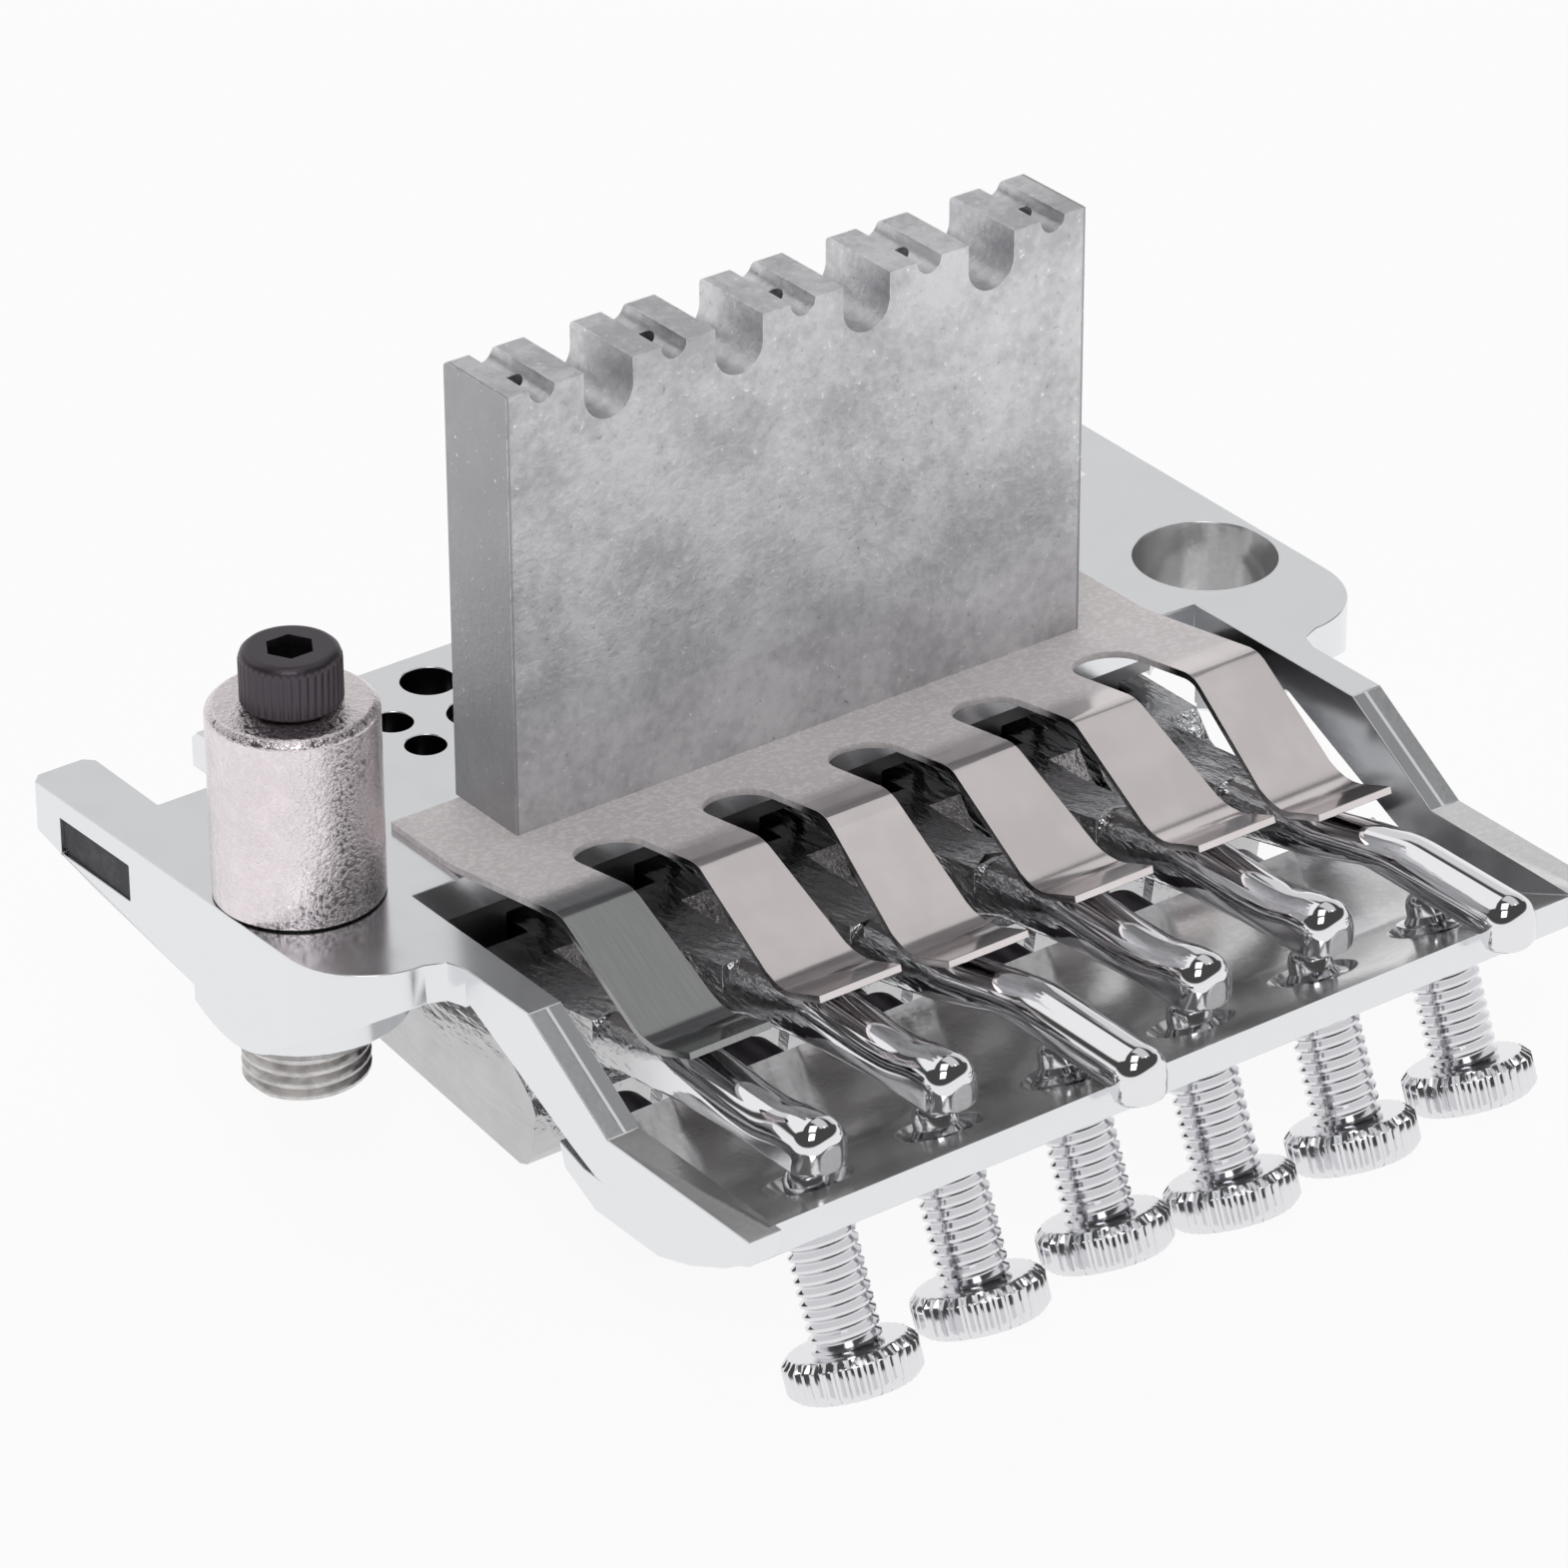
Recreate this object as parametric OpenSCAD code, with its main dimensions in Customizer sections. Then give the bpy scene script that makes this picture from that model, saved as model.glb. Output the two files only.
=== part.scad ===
// Six-string tremolo bridge, upside down: the sustain block points up (+Z), the knife edges face +Y and the
// fine tuners -Y. Lengths are millimetres. Places along the bridge are given as d, the distance behind the
// block's rear face, so y = -d. Heights count from the plate's upper face. Everything is moved at the end so that
// the origin lies under the middle of the whole bridge, at its lowest point.

/* [Strings] */
// Spacing of the six strings
string_pitch = 10.8; // [10.4:0.1:11]
// Height by which each tail is lifted above its lowest place
tail_lift = [0.5, 1.1, 0.1, 1, 1.2, 0.1];

/* [Plate] */
// Width over both wings
plate_w = 92; // [91:0.5:96]
// Thickness of the plate
plate_t = 3; // [2.6:0.1:3.4]
// Front edge of the plate, ahead of the block's rear face
plate_front = 27; // [26.5:0.25:28]
// How far the wings' prongs stand ahead of the front edge
prong_reach = 0.9; // [0.4:0.1:1.5]
// Front edge of the window
window_front_d = 1.5; // [1:0.1:2]
// Chamfer along the front edge
front_chamfer = 0.7; // [0.4:0.1:1]
// Depth of the wing's side at the front
wing_front_h = 3.65; // [3.4:0.05:5]
// Depth of the wing's side at its deepest
wing_deep_h = 8.5; // [7.5:0.1:9]
// Distance between the two pivot studs
stud_spacing = 74.3; // [74:0.1:75]
// Width of the notch round each stud
stud_notch_w = 7.7; // [7:0.1:8]
// Place of the knife edge
knife_d = -19.3; // [-19.6:0.1:-19]

/* [Rails and tuner bar] */
// Outer width over the side rails
rail_outer_w = 73.6; // [73:0.1:74.4]
// Thickness of each side rail
rail_t = 2.65; // [2.2:0.05:2.8]
// Place where the rail's top starts to slope
rail_slope_d = 18.7; // [18:0.1:19.5]
// Place where the rail's top is level again
rail_level_d = 27.4; // [27:0.1:28]
// Depth of the rail's lower level
rail_drop = 5.4; // [5:0.1:5.6]
// Rear edge of the tuner bar
bar_rear_d = 42; // [41.6:0.1:42.4]
// Front edge of the tuner bar
bar_front_d = 20; // [19.8:0.1:20.4]
// Depth of the bar's floor
bar_floor_z = -10.4; // [-10.6:0.1:-10.2]
// Place where the bar's floor turns into the slope
bar_turn_d = 30.2; // [30:0.1:30.6]
// Tilt of the slope and of the fine tuners
tuner_tilt = 23; // [22:0.5:24]
// Height of the bar's rear face
bar_rear_h = 1.9; // [1.6:0.1:2.4]

/* [Sustain block] */
// Width of the block
block_w = 49; // [46:0.5:52]
// Thickness of the block
block_t = 7.25; // [6:0.25:7.5]
// Height of the block above the spring sheet
block_h = 33.1; // [25:0.5:40]
// Width of the small spring grooves
groove_w = 2.1; // [1.6:0.1:2.6]
// Depth of the small spring grooves
groove_h = 1.1; // [0.8:0.1:2]
// Width of the large notches
notch_w = 4; // [3:0.1:5]
// Depth of the large notches
notch_h = 3.9; // [3:0.1:7]
// Radius of the block's front top edge
block_edge_r = 0.5; // [0.5:0.25:3]
// Diameter of the holes for the spring hooks
hook_hole_dia = 1.6; // [1:0.1:2]
// Depth of the holes for the spring hooks
hook_hole_h = 8; // [5:0.5:12]

/* [Leaf spring] */
// Thickness of the sheet
leaf_t = 0.55; // [0.4:0.05:0.7]
// Front edge of the sheet
leaf_front_d = -6.8; // [-7:0.1:-6]
// Place where the sheet starts to rise
rise_d = 1; // [0.6:0.1:1.4]
// Place where the slots between the fingers end
slot_tip_d = 4.4; // [4:0.1:5]
// Place of the crest, where the fingers turn down
crest_d = 13.2; // [12.8:0.1:13.6]
// Height of the sheet's underside at the crest
crest_z = 1.95; // [1.6:0.05:2.2]
// Width of a finger at the crest
finger_w = 5.6; // [5:0.1:6.4]
// Width of a finger at its tip
finger_tip_w = 6.8; // [6.4:0.1:7.4]
// Length of the straight end of the curl
curl_len = 2.4; // [2:0.1:2.8]
// Angle at which the tip points up
curl_angle = 21; // [18:1:24]

/* [Tremolo arm] */
// Distance of the arm holes from the middle
arm_x = 39.6; // [39.4:0.1:39.8]
// Place of the arm holes
arm_d = -3.9; // [-4.2:0.1:-3.6]
// Diameter of the wing's counterbore
arm_hole_dia = 10.7; // [10.2:0.1:11]
// Depth of the wing's counterbore
arm_hole_h = 6.5; // [5:0.25:7]
// Diameter of the barrel
barrel_dia = 11.8; // [11.5:0.1:12.4]
// Height of the barrel
barrel_h = 14.4; // [12:0.2:16]
// Depth of the boss below the plate's face
boss_h = 10.2; // [10:0.1:11]
// Diameter of the boss
boss_dia = 14.8; // [14.4:0.1:15.2]
// Diameter of the boss at its lower end
boss_end_dia = 11.2; // [10.8:0.1:11.8]
// Outer diameter of the thread for the arm's collar
collar_thread_dia = 8.9; // [8.6:0.1:9.4]
// Length of that thread
collar_thread_h = 3.8; // [3:0.2:5]
// Pitch of that thread
collar_thread_pitch = 0.95; // [0.8:0.05:1.1]
// Diameter of the arm
arm_dia = 5.6; // [5:0.1:5.8]
// Wall of the bushing's neck
neck_wall = 0.9; // [0.7:0.05:1]
// Thread of the tension screw
tension_dia = 4; // [3.5:0.5:5]
// Height of the tension screw's head
tension_head_h = 4; // [3.6:0.1:4.6]
// Diameter of the tension screw's head
tension_head_dia = 7; // [6.6:0.1:7.6]

/* [Saddles] */
// Width of a saddle
saddle_w = 9.8; // [9:0.1:10.2]
// Place of the pivot pin
pivot_d = -5; // [-5.3:0.1:-4.7]
// Height of the pivot pin
pivot_z = -8.6; // [-8.8:0.1:-8.4]
// Diameter of the pivot pin
pin_dia = 3; // [2.5:0.1:3.2]
// Width of a tail
tail_w = 4.2; // [3.8:0.1:4.6]
// Height of a tail
tail_h = 2.9; // [2.7:0.1:3.1]
// Underside of the short tails at their lowest
short_tail_z = -6.9; // [-6.95:0.05:-6.8]
// Underside of the long tails at their lowest
long_tail_z = -5.25; // [-5.3:0.05:-5.1]
// End of the short tails
short_tail_d = 37.9; // [37:0.1:38.4]
// End of the long tails
long_tail_d = 44.8; // [44:0.1:45.4]
// Lowest point of the saddle's body
saddle_low_z = -17.9; // [-18.4:0.1:-17.6]
// Thickness of the saddle base's foot
foot_t = 2.6; // [2.2:0.1:2.8]
// Width of the base's tongue, which carries the pin
tongue_w = 4; // [3.4:0.1:4.4]
// Width of the string slot
string_slot_w = 4.8; // [4.2:0.1:5.2]
// Length of the insert block
insert_len = 4; // [3.4:0.1:4.4]
// Thread of the lock screw
lock_dia = 4; // [3.5:0.5:4]
// Diameter of the lock screw's head
lock_head_dia = 5.8; // [5.4:0.1:5.8]
// Height of the lock screw's axis
lock_z = -15; // [-15.1:0.1:-14.9]
// Thread of the hold-down screws
hold_dia = 4; // [3.5:0.5:4]
// Place of the hold-down screws
hold_d = -16.8; // [-17:0.1:-16.6]

/* [Fine tuners] */
// Thread of the fine tuners
tuner_dia = 4.9; // [4.5:0.1:5]
// Diameter of the knurled head
tuner_head_dia = 9.25; // [8.8:0.05:9.8]
// Thickness of the knurled head
tuner_head_h = 3; // [2.5:0.1:3.5]
// Length from the tip to the middle of the head
tuner_len = 14.2; // [14:0.1:15.2]
// Place of the tuner's axis on the bar's slope
tuner_d = 35.8; // [35.4:0.1:36.2]
// Number of ridges on the head
knurl_count = 34; // [28:1:40]

/* [Fits] */
// Radial clearance of a running fit
run_clear = 0.05; // [0.03:0.01:0.08]
// Gap between pieces that rest on each other but move apart
rest_gap = 0.08; // [0.05:0.01:0.12]
// Gap at the side of a sliding piece
side_gap = 0.3; // [0.2:0.05:0.4]

/* [Hidden] */
$fn = 48;

chrome = "#d5d8dc";
zinc = "#8e9094";
nickel = "#c9bcb4";
steel_dark = "#33353a";
steel = "#b4b6ba";
plastic_white = "#e8e6df";
past = 1;
strings = [1:6];

// String i's place across the bridge
function string_x(i) = (i - 3.5) * string_pitch;
function is_long(i) = i == 3 || i == 6;
function tail_z(i) = is_long(i) ? long_tail_z : short_tail_z;
// Turn a list of [d, z] points into [y, z] points
function back(points) = [for (p = points) [-p[0], p[1]]];

// The tuner bar's slope and the tuner's axis on it
tuner_z = bar_floor_z + (tuner_d - bar_turn_d) * tan(tuner_tilt);
bar_lip_z = bar_floor_z + (bar_rear_d - bar_turn_d) * tan(tuner_tilt);
tip_r = 1.6;
tuner_point_h = 1.4;
// Angle of lever i, from its lowest place
function lever_angle(i) = asin(tail_lift[i - 1] / (tuner_d - pivot_d));
// How far tuner i's axis runs up from the slope before it meets the tail's underside
function axis_reach(i, a) =
    ((tuner_d - pivot_d) * sin(a) - (tuner_z - pivot_z) * cos(a) + tail_z(i) - pivot_z) / cos(tuner_tilt - a);
// Place of tuner i's tip along its axis: the round end touches the tail's underside
function tip_place(i) = axis_reach(i, lever_angle(i)) - (tip_r + rest_gap) / cos(tuner_tilt - lever_angle(i)) + tip_r;
function head_place(i) = tip_place(i) - tuner_len;

// The whole bridge's reach to the rear and downwards, set by the fine tuners' heads. A head is a knurled disc
// round a taller plain one.
rim = 0.5;
function disc_reach(r, h, across, along) = r * across + h / 2 * along;
function head_reach(across, along) = max(
    disc_reach(tuner_head_dia / 2, tuner_head_h - rim, across, along),
    disc_reach(tuner_head_dia / 2 - rim, tuner_head_h, across, along)
);
function head_rear_d(i) =
    tuner_d - head_place(i) * sin(tuner_tilt) + head_reach(cos(tuner_tilt), sin(tuner_tilt));
function head_low_z(i) =
    tuner_z + head_place(i) * cos(tuner_tilt) - head_reach(sin(tuner_tilt), cos(tuner_tilt));
rear_d = max([for (i = strings) head_rear_d(i)]);
low_z = min([for (i = strings) head_low_z(i)]);
front_d = -(plate_front + prong_reach);
centre_d = (rear_d + front_d) / 2;

// Put the origin under the middle of the bridge
module placed() {
    translate([0, centre_d, -low_z]) children();
}

// Extrude a side outline, given as [d, z] points, from x0 to x1
module side_bar(x0, x1, points) {
    translate([x0, 0, 0]) rotate([90, 0, 90]) linear_extrude(x1 - x0) polygon(back(points));
}

// A box between two corners given as [x, d, z]
module block_between(a, b) {
    translate([a[0], -b[1], a[2]]) cube([b[0] - a[0], b[1] - a[1], b[2] - a[2]]);
}

module at_arm(side) {
    translate([side * arm_x, -arm_d, 0]) children();
}

// The tuner's own axis: zero on the bar's slope, upwards to the tip
module on_tuner_axis(i) {
    translate([string_x(i), -tuner_d, tuner_z]) rotate([-tuner_tilt, 0, 0]) children();
}

// Turn a lever's pieces about the pivot pin
module on_lever(i) {
    translate([string_x(i), -pivot_d, pivot_z])
        rotate([-lever_angle(i), 0, 0])
            translate([0, pivot_d, -pivot_z])
                children();
}

// Base plate
rail_outer_x = rail_outer_w / 2;
rail_inner_x = rail_outer_x - rail_t;
half_w = plate_w / 2;
stud_x = stud_spacing / 2;
notch_in_x = stud_x - stud_notch_w / 2;
notch_out_x = stud_x + stud_notch_w / 2;
wing_rear_d = 9.5;
wing_edge_taper = 0.7;
wing_corner_r = 6.6;
chin_h = 1.5;
corner = 0.7;
insert_top_z = -1.6;
insert_h = 2.8;
insert_front_d = knife_d - 5;
insert_rear_d = knife_d + 3.5;
insert_in_x = notch_in_x - 1;
small_hole_dia = 3;
small_hole_d = [-19.2, -15.1];
spare_hold_d = -22.6;

module wing_outline(inner_x) {
    polygon(back_plan([
        [inner_x, window_front_d],
        [inner_x, knife_d],
        [notch_out_x, knife_d],
        [notch_out_x, front_d + corner],
        [notch_out_x + corner, front_d],
        [half_w - corner, front_d],
        [half_w, front_d + corner],
        for (a = [0:7.5:90]) [
            half_w - wing_edge_taper - wing_corner_r * (1 - cos(a)), wing_rear_d - wing_corner_r * (1 - sin(a))
        ],
        [rail_outer_x + 0.5, wing_rear_d + 0.6],
        [rail_outer_x, wing_rear_d + 2],
        [rail_inner_x, wing_rear_d + 2],
        [rail_inner_x, window_front_d]
    ]));
}
// Plan points are [x, d], drawn at [x, -d]
function back_plan(points) = [for (p = points) [p[0], -p[1]]];

module wing() {
    translate([0, 0, -plate_t]) linear_extrude(plate_t) wing_outline(notch_in_x);
    intersection() {
        union() {
            side_bar(rail_outer_x, half_w, [
                [front_d, 0],
                [front_d, -wing_front_h],
                [knife_d - 1.3, -wing_front_h - 1.75],
                [-2.5, -wing_deep_h],
                [0.5, -wing_deep_h],
                [wing_rear_d - 6.1, -wing_deep_h + 1.6],
                [wing_rear_d, -plate_t],
                [wing_rear_d + 2, -plate_t],
                [wing_rear_d + 2, 0]
            ]);
            at_arm(1) translate([0, 0, -boss_h]) {
                cylinder(h = chin_h, d1 = boss_end_dia, d2 = boss_dia);
                translate([0, 0, chin_h]) cylinder(h = boss_h - chin_h, d = boss_dia);
            }
        }
        translate([0, 0, -boss_h - past]) linear_extrude(boss_h + past) wing_outline(rail_outer_x);
    }
}

rail_foot_len = 7.7;
rail_foot_h = 4.5;
module rail() {
    side_bar(rail_inner_x, rail_outer_x, [
        [window_front_d, 0],
        [rail_slope_d, 0],
        [rail_level_d, -rail_drop],
        [bar_rear_d + 0.7, bar_lip_z],
        [bar_rear_d + 0.6, bar_lip_z - bar_rear_h],
        [bar_rear_d - 5.4, bar_lip_z - 4.3],
        [bar_rear_d - rail_foot_len, bar_lip_z - rail_foot_h],
        [rail_level_d - 1.5, -rail_drop - 3.5],
        [rail_slope_d + 4.7, -plate_t - 4.9],
        [wing_rear_d + 2.4, -plate_t + 0.4],
        [window_front_d, -plate_t]
    ]);
}

module tuner_bar() {
    side_bar(-rail_inner_x - rail_t / 2, rail_inner_x + rail_t / 2, [
        [bar_front_d, bar_floor_z + 0.8],
        [bar_front_d + 2.8, bar_floor_z],
        [bar_turn_d, bar_floor_z],
        [bar_rear_d, bar_lip_z],
        [bar_rear_d + 0.6, bar_lip_z - bar_rear_h],
        [bar_rear_d - 3.6, bar_lip_z - bar_rear_h - 2.8],
        [bar_turn_d + 4.3, bar_floor_z - 1.5],
        [bar_turn_d + 0.8, bar_floor_z - 2.6],
        [bar_front_d + 4, bar_floor_z - 2.6],
        [bar_front_d + 0.6, bar_floor_z - 1]
    ]);
}

module arm_hole() {
    translate([0, 0, -arm_hole_h]) cylinder(h = arm_hole_h + past, d = arm_hole_dia);
    translate([0, 0, -boss_h - past]) cylinder(h = boss_h, d = neck_dia + 2 * run_clear);
}

module screw_holes() {
    for (i = strings) {
        for (d = [hold_d, spare_hold_d])
            translate([string_x(i), -d, -plate_t - past])
                cylinder(h = plate_t + 2 * past, d = hold_dia + 2 * run_clear, $fn = 32);
    }
    for (k = [-2:2]) {
        for (d = small_hole_d)
            translate([k * string_pitch, -d, -plate_t - past])
                cylinder(h = plate_t + 2 * past, d = small_hole_dia, $fn = 32);
    }
    for (k = [-1:1])
        translate([k * block_screw_pitch, -block_screw_d, -plate_t]) {
            cylinder(h = plate_t + past, d = block_screw_dia + 2 * run_clear, $fn = 32);
            translate([0, 0, -run_clear])
                cylinder(h = block_screw_head_h, d1 = block_screw_head_dia, d2 = block_screw_dia, $fn = 32);
        }
}

module base_plate() {
    color(chrome) placed() difference() {
        union() {
            difference() {
                block_between([-notch_in_x, -plate_front, -plate_t], [notch_in_x, window_front_d, 0]);
                side_bar(-half_w, half_w, [
                    [-plate_front - past, front_chamfer],
                    [-plate_front + front_chamfer + past, past],
                    [-plate_front - past, -front_chamfer - past]
                ]);
            }
            for (side = [0, 1]) mirror([side, 0, 0]) {
                wing();
                rail();
            }
            tuner_bar();
        }
        for (side = [-1, 1]) at_arm(side) arm_hole();
        for (side = [0, 1]) mirror([side, 0, 0])
            block_between(
                [insert_in_x, insert_front_d, insert_top_z - insert_h],
                [half_w + past, insert_rear_d, insert_top_z]
            );
        screw_holes();
        for (i = strings) on_tuner_axis(i) {
            translate([0, 0, -bar_cut]) cylinder(h = 2 * bar_cut, d = tuner_dia + 2 * run_clear);
            translate([0, 0, -sink_h]) cylinder(h = sink_h + past / 2, d1 = tuner_dia, d2 = sink_dia);
        }
    }
}
bar_cut = 6;
sink_dia = 7;
sink_h = 0.9;

// Knife-edge inserts
knife_bevel = 1.2;
insert_seat = 0.02;

module knife_edge() {
    difference() {
        block_between(
            [insert_in_x + insert_seat, insert_front_d + insert_seat, insert_top_z - insert_h + insert_seat],
            [half_w - 0.4, insert_rear_d - insert_seat, insert_top_z - insert_seat]
        );
        intersection() {
            translate([stud_x, -knife_d + stud_notch_w / 2, insert_top_z - insert_h / 2]) {
                cylinder(h = insert_h, r1 = stud_notch_w / 2, r2 = stud_notch_w / 2 + 2 * knife_bevel);
                mirror([0, 0, 1])
                    cylinder(h = insert_h, r1 = stud_notch_w / 2, r2 = stud_notch_w / 2 + 2 * knife_bevel);
            }
            block_between(
                [notch_in_x - insert_seat, insert_front_d - past, insert_top_z - insert_h - past],
                [notch_out_x + insert_seat, insert_rear_d, insert_top_z + past]
            );
        }
        block_between(
            [notch_in_x - insert_seat, insert_front_d - past, insert_top_z - insert_h - past],
            [notch_out_x + insert_seat, knife_d - stud_notch_w / 2, insert_top_z + past]
        );
    }
}
module knife_edge_left() {
    color(steel_dark) placed() mirror([1, 0, 0]) knife_edge();
}
module knife_edge_right() {
    color(steel_dark) placed() knife_edge();
}

// Sustain block
block_screw_pitch = 2 * string_pitch * 0.75;
block_screw_d = -block_t / 2;
block_screw_dia = 4;
block_screw_head_dia = 7.6;
block_screw_head_h = 1.9;
block_screw_len = 11;

module u_slot(w, h) {
    translate([0, past, block_top_z - h + w / 2]) rotate([90, 0, 0]) cylinder(h = block_t + 2 * past, d = w);
    translate([-w / 2, -block_t - past, block_top_z - h + w / 2]) cube([w, block_t + 2 * past, h]);
}
block_top_z = leaf_t + block_h;

module sustain_block() {
    color(zinc) placed() difference() {
        translate([-block_w / 2, 0, leaf_t]) cube([block_w, block_t, block_h]);
        difference() {
            translate([-block_w, block_t - block_edge_r, block_top_z - block_edge_r])
                cube([2 * block_w, 2 * block_edge_r, 2 * block_edge_r]);
            translate([-block_w, block_t - block_edge_r, block_top_z - block_edge_r])
                rotate([0, 90, 0]) cylinder(h = 2 * block_w, r = block_edge_r);
        }
        translate([0, block_t, 0]) {
            for (k = [-2:2]) translate([k * string_pitch, 0, 0]) u_slot(groove_w, groove_h);
            for (k = [-1.5:1:1.5]) translate([k * string_pitch, 0, 0]) u_slot(notch_w, notch_h);
        }
        for (k = [-2:2])
            translate([k * string_pitch, block_t / 2, block_top_z - groove_h - hook_hole_h])
                cylinder(h = hook_hole_h + past, d = hook_hole_dia, $fn = 24);
        for (k = [-1:1])
            translate([k * block_screw_pitch, -block_screw_d, leaf_t - past])
                cylinder(h = block_screw_len, d = block_screw_dia + 2 * run_clear, $fn = 32);
    }
}

module block_screws() {
    color(steel_dark) placed() for (k = [-1:1])
        translate([k * block_screw_pitch, -block_screw_d, -plate_t]) difference() {
            union() {
                cylinder(h = block_screw_head_h - run_clear, d1 = block_screw_head_dia - 4 * run_clear,
                    d2 = block_screw_dia, $fn = 32);
                cylinder(h = block_screw_len, d = block_screw_dia, $fn = 32);
            }
            translate([0, 0, -past]) cylinder(h = 1.6 + past, d = 2.9, $fn = 6);
        }
}

// Leaf spring: a path of short steps, each [length, turn], followed from a place and a heading
function walk(p, heading, steps, k = 0) =
    k == len(steps) ? [[p[0], p[1], heading]] :
    let (h = heading + steps[k][1])
    concat([[p[0], p[1], heading]],
        walk([p[0] + steps[k][0] * cos(h), p[1] + steps[k][0] * sin(h)], h, steps, k + 1));
function arc_steps(radius, turn, n) = [for (k = [1:n]) [radius * abs(turn) * PI / 180 / n, turn / n]];
// A strip of thickness t with the path on its underside
function strip(path, t) = concat(
    [for (p = path) [p[0], p[1]]],
    [for (k = [len(path) - 1:-1:0]) [path[k][0] - t * sin(path[k][2]), path[k][1] + t * cos(path[k][2])]]
);
bend_r = 1.8;
rise_r = 12;
curl_r = 5;
bend_steps = 4;
leaf_half_w = 2.5 * string_pitch + 3.2;
rise_angle = atan(crest_z / (crest_d - rise_d));
// Height of tail i's ridge where the finger rests on it
rest_d = 23.6;
short_rest_z = -3.6;
long_rest_z = -4.2;
function rest_z(i) = (is_long(i) ? long_rest_z : short_rest_z) + (rest_d - pivot_d) * sin(lever_angle(i));
// From the crest to the centre of the curl, whose lowest point is on the ridge
function curl_centre(i) = [rest_d - crest_d, rest_z(i) + rest_gap + curl_r - crest_z];
function finger_fall(i) = let (c = curl_centre(i)) asin(curl_r / norm(c)) - atan2(c[1], c[0]);
function finger_len(i) = sqrt(pow(norm(curl_centre(i)), 2) - pow(curl_r, 2));
// Length that an arc takes off each of the straight stretches beside it
function tangent(radius, turn) = radius * tan(turn / 2);
crest_r = bend_r + leaf_t;
// The sheet's underside from where it rises to the start of the bend
function rise_steps(turn) = concat(
    arc_steps(rise_r, rise_angle, 2),
    [[norm([crest_d - rise_d, crest_z]) - tangent(rise_r, rise_angle) - tangent(crest_r, turn), 0]]
);
rise_start = [rise_d - tangent(rise_r, rise_angle), 0];

module finger(i) {
    fall = finger_fall(i);
    turn = rise_angle + fall;
    path = walk(rise_start, 0, concat(
        rise_steps(turn),
        arc_steps(crest_r, -turn, bend_steps),
        [[finger_len(i) - tangent(crest_r, turn), 0]],
        arc_steps(curl_r, fall + curl_angle, bend_steps + 1),
        [[curl_len, 0]]
    ));
    x = string_x(i);
    // The outer fingers' outer edges run on straight from the sheet's
    left = i == 1 ? -leaf_half_w : x - finger_w / 2;
    right = i == 6 ? leaf_half_w : x + finger_w / 2;
    intersection() {
        side_bar(-leaf_half_w, leaf_half_w, strip(path, leaf_t));
        translate([0, 0, rest_z(i) - past]) linear_extrude(crest_z - rest_z(i) + leaf_t + 2 * past)
            polygon(back_plan([
                [left, slot_mid_d],
                [left, crest_d],
                [i == 1 ? left : x - finger_tip_w / 2, rest_d],
                [i == 1 ? left : x - finger_tip_w / 2, rest_d + 2 * curl_r],
                [i == 6 ? right : x + finger_tip_w / 2, rest_d + 2 * curl_r],
                [i == 6 ? right : x + finger_tip_w / 2, rest_d],
                [right, crest_d],
                [right, slot_mid_d]
            ]));
    }
}
slot_w = string_pitch - finger_w;
slot_mid_d = slot_tip_d + slot_w / 2;

module leaf_spring() {
    color(nickel) placed() difference() {
        union() {
            block_between([-leaf_half_w, leaf_front_d, 0], [leaf_half_w, rise_start[0] + 0.01, leaf_t]);
            side_bar(-leaf_half_w, leaf_half_w, strip(walk(rise_start, 0, concat(
                arc_steps(rise_r, rise_angle, 2),
                [[norm([slot_mid_d - rise_d, 0]) - tangent(rise_r, rise_angle) + 0.5, 0]]
            )), leaf_t));
            for (i = strings) finger(i);
        }
        for (k = [-2:2]) translate([k * string_pitch, -slot_mid_d, -past]) {
            cylinder(h = crest_z + 2 * past, d = slot_w);
            translate([-slot_w / 2, -past, 0]) cube([slot_w, past, crest_z + 2 * past]);
        }
        for (k = [-1:1])
            translate([k * block_screw_pitch, -block_screw_d, -past])
                cylinder(h = leaf_t + 2 * past, d = block_screw_dia + 2 * run_clear, $fn = 32);
    }
}

// Tremolo arm socket
neck_dia = arm_dia + 2 * neck_wall;
spigot_h = arm_hole_h - run_clear;
neck_top_z = 5;
sleeve_top_z = 8.2;
shank_z = barrel_h - 5.4;

module arm_barrel() {
    color(nickel) placed() at_arm(-1) difference() {
        union() {
            cylinder(h = barrel_h - rim, d = barrel_dia);
            translate([0, 0, barrel_h - rim]) cylinder(h = rim, d1 = barrel_dia, d2 = barrel_dia - 2 * rim);
            translate([0, 0, -spigot_h]) cylinder(h = spigot_h, d = arm_hole_dia - 2 * run_clear);
        }
        translate([0, 0, -spigot_h - past]) cylinder(h = spigot_h + past + sleeve_top_z, d = neck_dia + 2 * run_clear);
        cylinder(h = barrel_h + past, d = tension_dia + 2 * run_clear);
    }
}

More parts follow.
